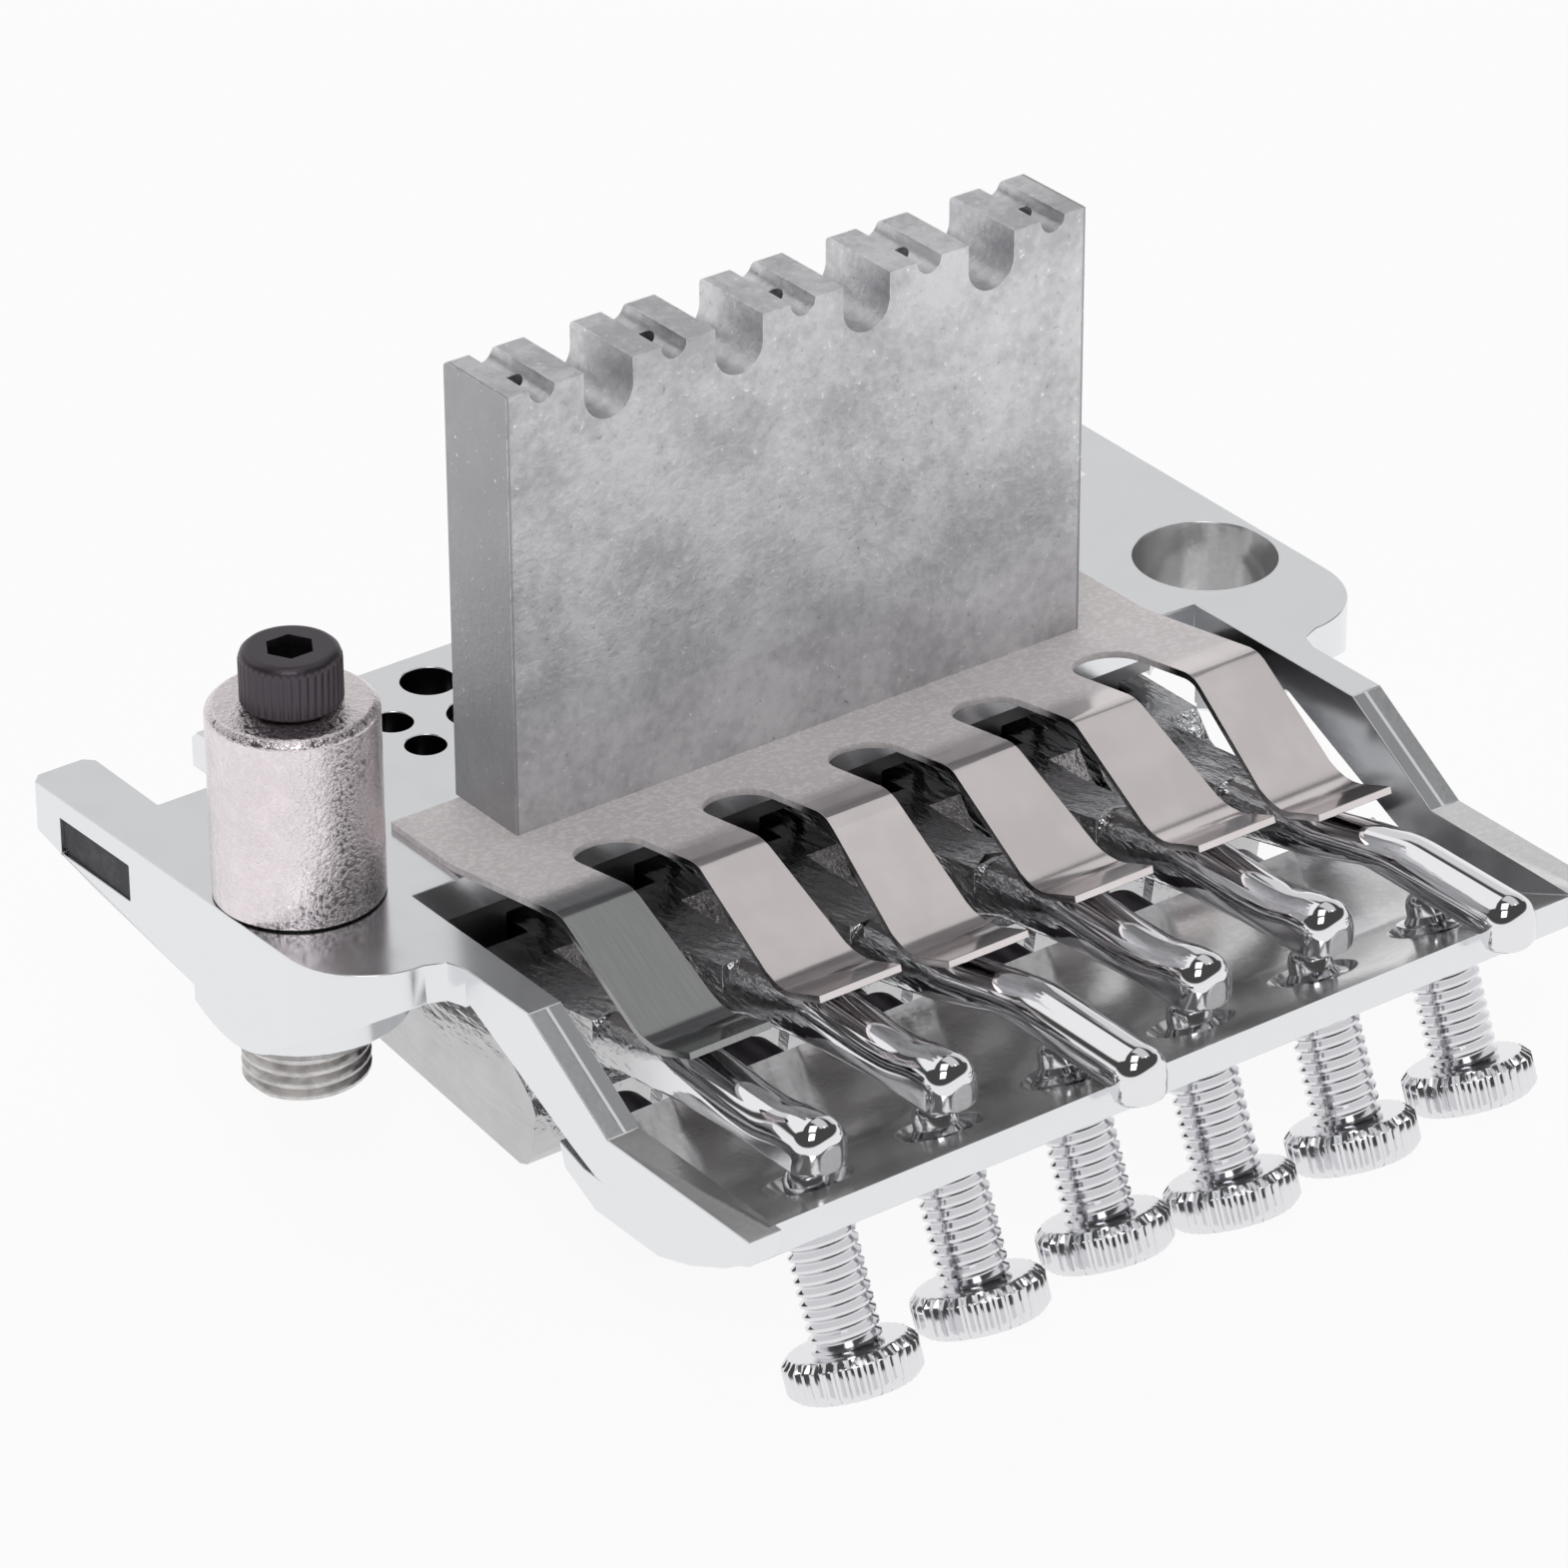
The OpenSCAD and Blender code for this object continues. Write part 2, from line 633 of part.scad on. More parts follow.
module arm_bushing() {
    color(steel) placed() at_arm(-1) difference() {
        union() {
            for (k = [0:collar_thread_h / collar_thread_pitch - 1])
                translate([0, 0, -boss_h - (k + 1) * collar_thread_pitch]) thread_ring();
            translate([0, 0, -boss_h - collar_thread_h])
                cylinder(h = collar_thread_h, d = collar_thread_dia - 2 * thread_depth);
            translate([0, 0, -boss_h - collar_thread_h]) cylinder(h = boss_h + collar_thread_h + neck_top_z, d = neck_dia);
        }
        translate([0, 0, -boss_h - collar_thread_h - past])
            cylinder(h = boss_h + collar_thread_h + neck_top_z + 2 * past, d = arm_dia);
    }
}
thread_depth = 0.45;
module thread_ring() {
    half = collar_thread_pitch / 2;
    cylinder(h = half, d1 = collar_thread_dia - 2 * thread_depth, d2 = collar_thread_dia);
    translate([0, 0, half]) cylinder(h = half, d1 = collar_thread_dia, d2 = collar_thread_dia - 2 * thread_depth);
}

module arm_sleeve() {
    color(plastic_white) placed() at_arm(-1) difference() {
        translate([0, 0, neck_top_z]) cylinder(h = sleeve_top_z - neck_top_z, d = neck_dia);
        translate([0, 0, neck_top_z - past]) cylinder(h = sleeve_top_z, d = arm_dia);
    }
}

key_w = 3;
module arm_tension_screw() {
    color(steel_dark) placed() at_arm(-1) difference() {
        union() {
            translate([0, 0, barrel_h + rest_gap]) {
                cylinder(h = tension_head_h - rim, d = tension_head_dia);
                translate([0, 0, tension_head_h - rim])
                    cylinder(h = rim, d1 = tension_head_dia, d2 = tension_head_dia - 2 * rim);
            }
            translate([0, 0, shank_z]) cylinder(h = barrel_h - shank_z + past, d = tension_dia);
        }
        translate([0, 0, barrel_h + rest_gap + tension_head_h / 2])
            cylinder(h = tension_head_h, d = key_w / cos(30), $fn = 6);
    }
}

// Saddle bases
foot_front_d = -24.5;
foot_rear_d = pivot_d + 4.3;
foot_low_z = -plate_t - foot_t;
tongue_front_d = pivot_d - 4.3;
tongue_low_z = pivot_z - 2.7;
hold_slot = 1.6;

module saddle_base(i) {
    color(chrome) placed() translate([string_x(i), 0, 0]) difference() {
        union() {
            block_between([-saddle_w / 2, foot_front_d, foot_low_z], [saddle_w / 2, foot_rear_d, -plate_t]);
            block_between([-tongue_w / 2, tongue_front_d, tongue_low_z], [tongue_w / 2, foot_rear_d, foot_low_z]);
        }
        translate([0, -hold_d, foot_low_z - past]) {
            for (s = [-1, 1])
                translate([0, s * hold_slot, 0]) cylinder(h = foot_t + 2 * past, d = hold_dia + 4 * run_clear, $fn = 32);
            translate([-hold_dia / 2 - 2 * run_clear, -hold_slot, 0])
                cube([hold_dia + 4 * run_clear, 2 * hold_slot, foot_t + 2 * past]);
        }
        translate([-saddle_w, -pivot_d, pivot_z]) rotate([0, 90, 0])
            cylinder(h = 2 * saddle_w, d = pin_dia + 2 * run_clear);
    }
}

hold_head_dia = 6.8;
hold_head_h = 2.6;
hold_end_z = -0.9;
module hold_down_screws() {
    color(steel_dark) placed() for (i = strings)
        translate([string_x(i), -hold_d, foot_low_z]) difference() {
            union() {
                translate([0, 0, -hold_head_h]) cylinder(h = hold_head_h, d = hold_head_dia, $fn = 32);
                cylinder(h = hold_end_z - foot_low_z, d = hold_dia, $fn = 32);
            }
            translate([0, 0, -hold_head_h - past]) cylinder(h = 1.5 + past, d = key_w / cos(30), $fn = 6);
        }
}

// Saddle levers
lever_top_z = foot_low_z - 0.7;
lever_nose = 7.4;
lever_front_d = pivot_d - lever_nose;
slot_low_z = tongue_low_z - 0.9;
slot_rear_d = foot_rear_d + 2.2;
string_slot_front_d = slot_rear_d - 2.1;
string_slot_len = 7.7;
string_slot_rear_d = string_slot_front_d + string_slot_len;
string_slot_top_z = slot_low_z - 0.7;
body_rear_d = string_slot_rear_d + 5;
end_r = 1.4;
shoulder_len = 7.5;
shoulder_h = 6.8;
nose_foot_len = 6.8;
nose_foot_h = 3;

module lever_body() {
    side_bar(-saddle_w / 2, saddle_w / 2, [
        [lever_front_d, lever_top_z],
        [body_rear_d - shoulder_len, lever_top_z],
        [body_rear_d - 6, lever_top_z - 1.9],
        [body_rear_d - 2.6, lever_top_z - 3.9],
        [body_rear_d - 0.4, lever_top_z - 5.9],
        [body_rear_d, lever_top_z - shoulder_h],
        [body_rear_d - 0.6, saddle_low_z + 1.2],
        [body_rear_d - 1.2, saddle_low_z + 0.3],
        [body_rear_d - 2, saddle_low_z],
        [pivot_d - 2, saddle_low_z + 2],
        [pivot_d - 5.4, saddle_low_z + 2.4],
        [pivot_d - nose_foot_len, saddle_low_z + nose_foot_h],
        [lever_front_d, saddle_low_z + 4.2]
    ]);
}

// The tail's side: its top rises from the body to where the finger rests, its crown is round and its end domed
crown_d = 30;
dip_len = 7;
tail_room = 8;
tail_end_r = 1.9;
module tail(i) {
    low = tail_z(i);
    top = low + tail_h;
    rest = is_long(i) ? long_rest_z : short_rest_z;
    end_d = is_long(i) ? long_tail_d : short_tail_d;
    toe = is_long(i) ? 0.75 : 0;
    crown = max(rest, top) + 0.05;
    intersection() {
        side_bar(-tail_w / 2, tail_w / 2, concat(
            [
                [slot_rear_d + 1, lever_top_z],
                [body_rear_d - 3, lever_top_z],
                [rest_d - 4, rest - 1],
                [rest_d - 1, rest],
                [rest_d + 1, rest],
                [crown_d, top - (is_long(i) ? 0.6 : 0)],
                [crown_d + 3, top]
            ],
            [for (a = [0:15:75]) [end_d + tail_end_r * (sin(a) - 1), top + tail_end_r * (cos(a) - 1)]],
            [
                [end_d, top - tail_end_r],
                [end_d, low - toe],
                [end_d - 1.6, low - toe],
                [end_d - 1.9, low],
                [rest_d + dip_len, low],
                [rest_d + 1, min(low - 0.4, rest - 3)],
                [rest_d - 6, rest - 4.6],
                [body_rear_d - 1, rest - tail_room + 0.8],
                [slot_rear_d + 1, rest - tail_room]
            ]
        ));
        translate([0, 0, low - 2 * tail_room]) linear_extrude(3 * tail_room) union() {
            translate([-tail_w / 2, -end_d + end_r]) square([tail_w, end_d]);
            translate([-tail_w / 2 + end_r, -end_d]) square([tail_w - 2 * end_r, end_d]);
            for (s = [-1, 1]) translate([s * (tail_w / 2 - end_r), -end_d + end_r]) circle(end_r, $fn = 32);
        }
        union() {
            translate([0, past, crown - tail_w / 2]) rotate([90, 0, 0]) cylinder(h = end_d + 2 * past, d = tail_w);
            translate([-tail_w / 2, -end_d - past, crown - tail_w / 2 - 2 * tail_room])
                cube([tail_w, end_d + 2 * past, 2 * tail_room]);
        }
    }
}

module saddle_lever(i) {
    color(chrome) placed() on_lever(i) difference() {
        union() {
            lever_body();
            tail(i);
        }
        block_between(
            [-tongue_w / 2 - side_gap, lever_front_d - past, slot_low_z],
            [tongue_w / 2 + side_gap, slot_rear_d, lever_top_z + past]
        );
        block_between(
            [-string_slot_w / 2, string_slot_front_d, saddle_low_z - past],
            [string_slot_w / 2, string_slot_rear_d, string_slot_top_z]
        );
        translate([0, -string_slot_rear_d + past, lock_z]) rotate([90, 0, 0])
            cylinder(h = body_rear_d - string_slot_rear_d + 2 * past, d = lock_dia + 2 * run_clear);
        translate([-saddle_w, -pivot_d, pivot_z]) rotate([0, 90, 0])
            cylinder(h = 2 * saddle_w, d = pin_dia + run_clear);
    }
}

module pivot_pin(i) {
    color(steel) placed() on_lever(i)
        translate([-saddle_w / 2, -pivot_d, pivot_z]) rotate([0, 90, 0]) cylinder(h = saddle_w, d = pin_dia);
}

// Insert block and lock screw
insert_travel = 2;
insert_rear = string_slot_rear_d - 0.7;
insert_block_top_z = string_slot_top_z - 0.1;
insert_block_h = 3.6;
lock_head_h = 3.8;

module insert_block(i) {
    color(steel) placed() on_lever(i)
        block_between(
            [-string_slot_w / 2 + run_clear, insert_rear - insert_len, insert_block_top_z - insert_block_h],
            [string_slot_w / 2 - run_clear, insert_rear, insert_block_top_z]
        );
}

module lock_screw(i) {
    head_d = body_rear_d + insert_travel + 0.2;
    color(steel_dark) placed() on_lever(i) difference() {
        union() {
            translate([0, -insert_rear - rest_gap, lock_z]) rotate([90, 0, 0])
                cylinder(h = head_d - insert_rear, d = lock_dia);
            translate([0, -head_d, lock_z]) rotate([90, 0, 0]) cylinder(h = lock_head_h, d = lock_head_dia);
        }
        translate([0, -head_d - lock_head_h / 2, lock_z]) rotate([90, 0, 0])
            cylinder(h = lock_head_h, d = key_w / cos(30), $fn = 6);
    }
}

// Fine tuners
knurl_h = 0.28;
module fine_tuner(i) {
    color(chrome) placed() on_tuner_axis(i) {
        translate([0, 0, head_place(i) - tuner_head_h / 2]) {
            translate([0, 0, rim / 2]) linear_extrude(tuner_head_h - rim) polygon([
                for (k = [0:2 * knurl_count - 1])
                    let (r = tuner_head_dia / 2 - (k % 2) * knurl_h, a = k * 180 / knurl_count - 90)
                    [r * cos(a), r * sin(a)]
            ]);
            cylinder(h = tuner_head_h, d = tuner_head_dia - 2 * rim);
        }
        translate([0, 0, head_place(i)])
            cylinder(h = tuner_len - tip_r - tuner_point_h, d = tuner_dia);
        translate([0, 0, head_place(i)]) cylinder(h = tuner_len - tip_r, r = tip_r);
        translate([0, 0, tip_place(i) - tip_r]) sphere(tip_r);
    }
}

base_plate();
knife_edge_left();
knife_edge_right();
sustain_block();
block_screws();
leaf_spring();
arm_barrel();
arm_bushing();
arm_sleeve();
arm_tension_screw();
hold_down_screws();
for (i = strings) {
    saddle_base(i);
    saddle_lever(i);
    pivot_pin(i);
    insert_block(i);
    lock_screw(i);
    fine_tuner(i);
}
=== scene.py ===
"""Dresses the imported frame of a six-string guitar tremolo bridge: finishes, threads, knurls and spring.

Places on the bridge are x, d and z in millimetres: d is the distance behind the sustain block's rear face,
and z is the height over the base plate's upper face. Datum turns them into places in the frame, in metres.
"""
import logging
import math
from abc import ABC, abstractmethod
from dataclasses import dataclass, field
from enum import Enum
from typing import Any, Callable, Optional, Sequence, Union

import bpy
from mathutils import Matrix, Vector
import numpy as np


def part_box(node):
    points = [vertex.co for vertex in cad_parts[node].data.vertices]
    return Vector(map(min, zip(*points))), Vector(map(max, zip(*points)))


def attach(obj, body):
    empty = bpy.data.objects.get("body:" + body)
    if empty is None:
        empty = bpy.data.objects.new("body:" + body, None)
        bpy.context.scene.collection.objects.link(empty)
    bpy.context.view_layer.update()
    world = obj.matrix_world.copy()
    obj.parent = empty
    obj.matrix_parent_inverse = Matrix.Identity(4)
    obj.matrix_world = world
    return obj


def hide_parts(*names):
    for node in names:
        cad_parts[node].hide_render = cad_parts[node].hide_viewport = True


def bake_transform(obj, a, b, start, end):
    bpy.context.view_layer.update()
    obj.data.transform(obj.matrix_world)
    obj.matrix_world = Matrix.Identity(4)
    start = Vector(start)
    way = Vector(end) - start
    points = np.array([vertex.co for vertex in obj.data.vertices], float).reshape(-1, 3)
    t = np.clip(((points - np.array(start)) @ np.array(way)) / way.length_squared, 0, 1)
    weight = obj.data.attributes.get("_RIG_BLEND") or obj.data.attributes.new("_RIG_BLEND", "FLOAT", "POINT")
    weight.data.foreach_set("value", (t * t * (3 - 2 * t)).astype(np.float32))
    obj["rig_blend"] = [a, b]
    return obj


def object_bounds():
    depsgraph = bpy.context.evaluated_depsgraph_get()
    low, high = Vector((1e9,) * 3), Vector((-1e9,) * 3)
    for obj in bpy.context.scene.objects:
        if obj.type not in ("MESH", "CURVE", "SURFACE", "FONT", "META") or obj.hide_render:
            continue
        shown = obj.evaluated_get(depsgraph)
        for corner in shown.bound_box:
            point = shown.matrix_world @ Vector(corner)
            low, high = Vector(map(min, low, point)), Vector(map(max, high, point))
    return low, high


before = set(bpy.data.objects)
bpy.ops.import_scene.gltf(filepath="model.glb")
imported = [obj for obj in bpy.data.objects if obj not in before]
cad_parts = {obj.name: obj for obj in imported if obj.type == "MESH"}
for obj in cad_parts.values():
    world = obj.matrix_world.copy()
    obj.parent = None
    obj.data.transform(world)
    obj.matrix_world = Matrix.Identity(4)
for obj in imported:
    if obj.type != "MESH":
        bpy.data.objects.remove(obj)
cad_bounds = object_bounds()

log = logging.getLogger("tremolo_bridge")
MM = 0.001
WELD = 1e-6
FLAT = 0.4
STRINGS = range(1, 7)
PITCH = 10.8
Colour = tuple[float, float, float]
Number = Union["Signal", float]


@dataclass(frozen=True)
class Datum:
    """Turns places on the bridge, in millimetres, into places in the frame, in metres."""

    rear_y: float
    face_z: float

    @classmethod
    def from_frame(cls) -> "Datum":
        """The datum set by the sustain block's rear face and the base plate's upper face."""
        return cls(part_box("sustain_block")[0].y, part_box("base_plate")[1].z)

    def at(self, x: float, d: float, z: float) -> Vector:
        """The place in the frame, in metres, of a point on the bridge.

        Args:
            x: Place across the bridge.
            d: Distance behind the block's rear face.
            z: Height over the plate's upper face.

        Returns:
            The point in the frame.
        """
        return Vector((x * MM, self.rear_y - d * MM, self.face_z + z * MM))

    def back(self, point: Vector) -> Vector:
        """The x, d and z in millimetres of a point in the frame."""
        return Vector((point.x / MM, (self.rear_y - point.y) / MM, (point.z - self.face_z) / MM))


DATUM = Datum.from_frame()


def string_x(i: int) -> float:
    """String i's place across the bridge, in millimetres."""
    return (i - 3.5) * PITCH


class Signal:
    """A value that flows through a shader tree; arithmetic on it adds Math nodes to the tree."""

    def __init__(self, tree: "ShaderTree", socket: bpy.types.NodeSocket) -> None:
        """Wrap one output socket.

        Args:
            tree: The tree that holds the socket's node.
            socket: The output socket.
        """
        self.tree = tree
        self.socket = socket

    def out(self, name: str) -> "Signal":
        """Another output of the same node."""
        return Signal(self.tree, self.socket.node.outputs[name])

    def _math(self, operation: str, left: Number, right: Number = 0.0) -> "Signal":
        """One Math node of the named operation."""
        return self.tree.add("Math", {"operation": operation}, {0: left, 1: right})

    def __add__(self, other: Number) -> "Signal":
        """Sum."""
        return self._math("ADD", self, other)

    __radd__ = __add__

    def __sub__(self, other: Number) -> "Signal":
        """Difference."""
        return self._math("SUBTRACT", self, other)

    def __rsub__(self, other: Number) -> "Signal":
        """Difference from a number."""
        return self._math("SUBTRACT", other, self)

    def __mul__(self, other: Number) -> "Signal":
        """Product."""
        return self._math("MULTIPLY", self, other)

    __rmul__ = __mul__

    def __truediv__(self, other: Number) -> "Signal":
        """Quotient."""
        return self._math("DIVIDE", self, other)

    def __abs__(self) -> "Signal":
        """Size without sign."""
        return self._math("ABSOLUTE", self)

    def most(self, other: Number) -> "Signal":
        """The larger of two values."""
        return self._math("MAXIMUM", self, other)

    def least(self, other: Number) -> "Signal":
        """The smaller of two values."""
        return self._math("MINIMUM", self, other)

    def rise(self, low: float, high: float) -> "Signal":
        """A smooth step.

        Args:
            low: Where it is 0.
            high: Where it is 1, above or below low.

        Returns:
            The step.
        """
        start, end = (0.0, 1.0) if low < high else (1.0, 0.0)
        inputs = {0: self, 1: min(low, high), 2: max(low, high), 3: start, 4: end}
        return self.tree.add("MapRange", {"interpolation_type": "SMOOTHSTEP"}, inputs)

    def within(self, low: float, high: float, soft: float) -> "Signal":
        """1 between low and high, with soft edges that lie inside."""
        return self.rise(low, low + soft) * self.rise(high, high - soft)


class ShaderTree:
    """The node tree of one material or of the world."""

    def __init__(self, owner: Union[bpy.types.Material, bpy.types.World]) -> None:
        """Start an empty tree.

        Args:
            owner: The material or world whose nodes are made.
        """
        owner.use_nodes = True
        self.tree = owner.node_tree
        self.tree.nodes.clear()

    def add(
        self,
        kind: str,
        settings: Optional[dict[str, Any]] = None,
        inputs: Optional[dict[Union[int, str], Any]] = None,
        output: Union[int, str] = 0,
    ) -> Signal:
        """Add one node.

        Args:
            kind: The node's type, without ShaderNode in front.
            settings: The node's properties, set first.
            inputs: Values or signals for its sockets, by name or number.
            output: The output that the signal is taken from.

        Returns:
            The signal of that output.
        """
        node = self.tree.nodes.new("ShaderNode" + kind)
        for name, value in (settings or {}).items():
            setattr(node, name, value)
        for key, value in (inputs or {}).items():
            socket = node.inputs[key]
            if isinstance(value, Signal):
                self.tree.links.new(value.socket, socket)
            elif socket.type == "RGBA":
                socket.default_value = (*value, 1.0)
            else:
                socket.default_value = value
        return Signal(self, node.outputs[output])

    def finish(self, kind: str, surface: Signal) -> None:
        """Lead the surface into the tree's output node, of the named kind."""
        self.tree.links.new(surface.socket, self.tree.nodes.new("ShaderNode" + kind).inputs["Surface"])

    def zone(self, name: str) -> Signal:
        """An attribute that is stored on the mesh: 1 on one kind of face and 0 elsewhere."""
        return self.add("Attribute", {"attribute_name": name}, output="Fac")

    def place(self, stretch: Sequence[float] = (1, 1, 1)) -> Signal:
        """Object coordinates in millimetres, stretched along each axis."""
        coordinates = self.add("TexCoord", output="Object")
        return self.add("Mapping", {}, {"Vector": coordinates, "Scale": [s / MM for s in stretch]})

    def axes(self, vector: Signal) -> tuple[Signal, Signal, Signal]:
        """The x, y and z of a vector."""
        split = self.add("SeparateXYZ", {}, {0: vector})
        return split.out("X"), split.out("Y"), split.out("Z")

    def noise(self, vector: Signal, scale: float, detail: float = 2.0, roughness: float = 0.5) -> Signal:
        """Cloudy noise between 0 and 1."""
        inputs = {"Vector": vector, "Scale": scale, "Detail": detail, "Roughness": roughness}
        return self.add("TexNoise", {}, inputs)

    def mix(self, share: Number, first: Any, second: Any) -> Signal:
        """A colour between two colours."""
        return self.add("Mix", {"data_type": "RGBA"}, {0: share, 6: first, 7: second}, 2)

    def bump(self, height: Number, depth: float) -> Signal:
        """A normal bent by a height between 0 and 1 that stands for depth in millimetres."""
        return self.add("Bump", {}, {"Height": height, "Distance": depth * MM, "Strength": 1.0})

    def metal(self, colour: Any, roughness: Number, normal: Signal, metallic: Number = 1.0) -> Signal:
        """A metal surface."""
        inputs = {"Base Color": colour, "Roughness": roughness, "Normal": normal, "Metallic": metallic}
        return self.add("BsdfPrincipled", {}, inputs)


@dataclass(frozen=True)
class Finish(ABC):
    """How one kind of surface looks. Scales are per millimetre, relief and places are in millimetres."""

    name: str

    @abstractmethod
    def surface(self, tree: ShaderTree) -> Signal:
        """Build the finish's nodes.

        Args:
            tree: The material's tree.

        Returns:
            The surface shader.
        """

    def material(self) -> bpy.types.Material:
        """The finish's material, made once.

        Returns:
            The material.
        """
        found = bpy.data.materials.get(self.name)
        if found is None:
            found = bpy.data.materials.new(self.name)
            tree = ShaderTree(found)
            tree.finish("OutputMaterial", self.surface(tree))
        return found

    def coat(self, obj: bpy.types.Object) -> None:
        """Give an object this finish all over."""
        obj.data.materials.clear()
        obj.data.materials.append(self.material())


@dataclass(frozen=True)
class PlatedChrome(Finish):
    """Bright chrome over turned and knurled pieces, with a slight ripple and fine haze."""

    tint: Colour = (0.96, 0.955, 0.97)
    roughness: float = 0.09
    haze: float = 0.06
    ripple_scale: float = 0.5
    ripple: float = 0.02
    cloud_scale: float = 0.35
    grain_scale: float = 3.0

    def surface(self, tree: ShaderTree) -> Signal:
        """Chrome with clouded roughness and rippled reflections.

        Args:
            tree: The material's tree.

        Returns:
            The surface shader.
        """
        place = tree.place()
        clouds = tree.noise(place, self.cloud_scale, 3.0)
        rough = self.roughness + self.haze * clouds.rise(0.45, 0.8)
        waves = tree.noise(place, self.ripple_scale, 1.0)
        grain = tree.noise(place, self.grain_scale, 2.0)
        normal = tree.bump(waves + 0.03 * grain, self.ripple)
        return tree.metal(self.tint, rough, normal)


@dataclass(frozen=True)
class CastChrome(Finish):
    """Satin chrome over a casting: grey in its cast facets, dull on the tuner bar, with painted shade in the
    bores and on the rails' inner banks and a painted highlight along the inlays' ledges.
    """

    tint: Colour = (0.80, 0.81, 0.83)
    cast: Colour = (0.44, 0.445, 0.45)
    dull: Colour = (0.74, 0.73, 0.725)
    # Near-black painted shade for the bores' walls and the rails' inner banks.
    bore: Colour = (0.07, 0.07, 0.075)
    # Colour of the painted highlight along the inlays' ledges.
    edge: Colour = (0.92, 0.92, 0.93)
    inlay_x: float = 35.45
    ledge_w: float = 0.2
    roughness: float = 0.17
    cloud_scale: float = 0.3
    grain_scale: float = 2.4
    relief: float = 0.022

    def surface(self, tree: ShaderTree) -> Signal:
        """Chrome whose colour, haze and grain follow the zones that are stored on the mesh.

        Args:
            tree: The material's tree.

        Returns:
            The surface shader.
        """
        place = tree.place()
        clouds = tree.noise(place, self.cloud_scale, 3.0)
        grain = tree.noise(place, self.grain_scale, 3.0, 0.65)
        inlay, dull, bore = (tree.zone(name) for name in ("cast", "dull", "bore"))
        out = abs(tree.axes(place)[0])
        cast = inlay * out.rise(self.inlay_x, self.inlay_x + 0.08)
        ledge_x = self.inlay_x - self.ledge_w
        # Painted highlight: a narrow bright line at the inlay's inner edge.
        ledge_highlight = inlay * out.within(ledge_x, self.inlay_x, 0.06)
        # Painted shade: the inlay's inner strip, inside the ledge, is darkened.
        bank_shade = inlay * out.rise(ledge_x, ledge_x - 0.08)
        colour = tree.mix(cast * (0.75 + 0.5 * (grain - 0.5)), self.tint, self.cast)
        colour = tree.mix(dull * grain.rise(0.25, 0.6), colour, self.dull)
        # Painted shade: the bores' walls and the rails' inner banks are darkened towards the bore colour.
        colour = tree.mix(bore.most(0.6 * bank_shade), colour, self.bore)
        # Painted highlight mixed in along the ledge.
        colour = tree.mix(0.5 * ledge_highlight, colour, self.edge)
        rough = self.roughness + 0.05 * clouds.rise(0.4, 0.8) + 0.20 * cast - 0.04 * dull + 0.12 * bore
        height = 0.3 * clouds + grain * (0.03 + 1.2 * cast + 0.3 * dull)
        return tree.metal(colour, rough, tree.bump(height, self.relief), 1.0 - 0.25 * dull)


@dataclass(frozen=True)
class LeverChrome(Finish):
    """Polished chrome on a lever's tail that turns duller and darker towards its cast body."""

    tint: Colour = (0.80, 0.80, 0.82)
    body: Colour = (0.46, 0.46, 0.465)
    polished_d: float = 27.0
    cast_d: float = 17.0
    cloud_scale: float = 0.4
    grain_scale: float = 2.4
    relief: float = 0.07

    def surface(self, tree: ShaderTree) -> Signal:
        """Chrome whose haze and grain grow from the tail to the body.

        Args:
            tree: The material's tree.

        Returns:
            The surface shader.
        """
        place = tree.place()
        body = tree.axes(place)[1].rise(*(DATUM.rear_y / MM - d for d in (self.polished_d, self.cast_d)))
        clouds = tree.noise(place, self.cloud_scale, 3.0)
        grain = tree.noise(place, self.grain_scale, 3.0, 0.6)
        colour = tree.mix(body * (0.8 + 0.4 * (clouds - 0.5)), self.tint, self.body)
        folds = tree.noise(tree.place((0.9, 0.25, 0.9)), 1.0, 3.0, 0.6)
        rough = 0.03 + 0.03 * clouds + 0.12 * body
        height = grain * (0.01 + 0.3 * body) + 3.0 * folds * body
        return tree.metal(colour, rough, tree.bump(height, self.relief))


@dataclass(frozen=True)
class CastZinc(Finish):
    """Bare tumbled zinc casting: cloudy grey and pitted, bright on worn edges, with painted shade on its
    narrow ends.
    """

    dark: Colour = (0.52, 0.52, 0.54)
    pale: Colour = (0.78, 0.78, 0.80)
    worn: Colour = (0.97, 0.97, 0.98)
    pit: Colour = (0.30, 0.30, 0.31)
    # Colour of the painted shade on the narrow end faces.
    end_shade: Colour = (0.33, 0.33, 0.34)
    end_x: float = 24.2
    cloud_scale: float = 0.13
    grain_scale: float = 1.1
    speck_scale: float = 2.2
    relief: float = 0.06

    def surface(self, tree: ShaderTree) -> Signal:
        """Mottled metal with dark pits and bright nicks, whose bevelled edges are polished by wear.

        Args:
            tree: The material's tree.

        Returns:
            The surface shader.
        """
        place = tree.place()
        clouds = tree.noise(place, self.cloud_scale, 6.0, 0.62)
        grain = tree.noise(place, self.grain_scale, 4.0, 0.62)
        specks = tree.noise(place, self.speck_scale, 3.0, 0.6)
        share = (0.66 * clouds + 0.34 * grain).rise(0.34, 0.64)
        worn = tree.zone("wear") * grain.rise(0.3, 0.6)
        nicks = specks.rise(0.66, 0.74)
        pits = specks.rise(0.33, 0.26)
        colour = tree.mix(share, self.dark, self.pale)
        # Painted shade: both narrow end faces are darkened.
        ends = abs(tree.axes(place)[0]).rise(self.end_x, self.end_x + 0.2)
        colour = tree.mix(ends * (0.5 + 0.5 * grain), colour, self.end_shade)
        colour = tree.mix(pits * 0.6, colour, self.pit)
        colour = tree.mix(nicks.most(worn) * 0.8, colour, self.worn)
        rough = 0.40 + 0.14 * clouds - 0.16 * nicks.most(worn)
        normal = tree.bump(0.7 * grain + 0.5 * specks, self.relief)
        return tree.metal(colour, rough, normal)


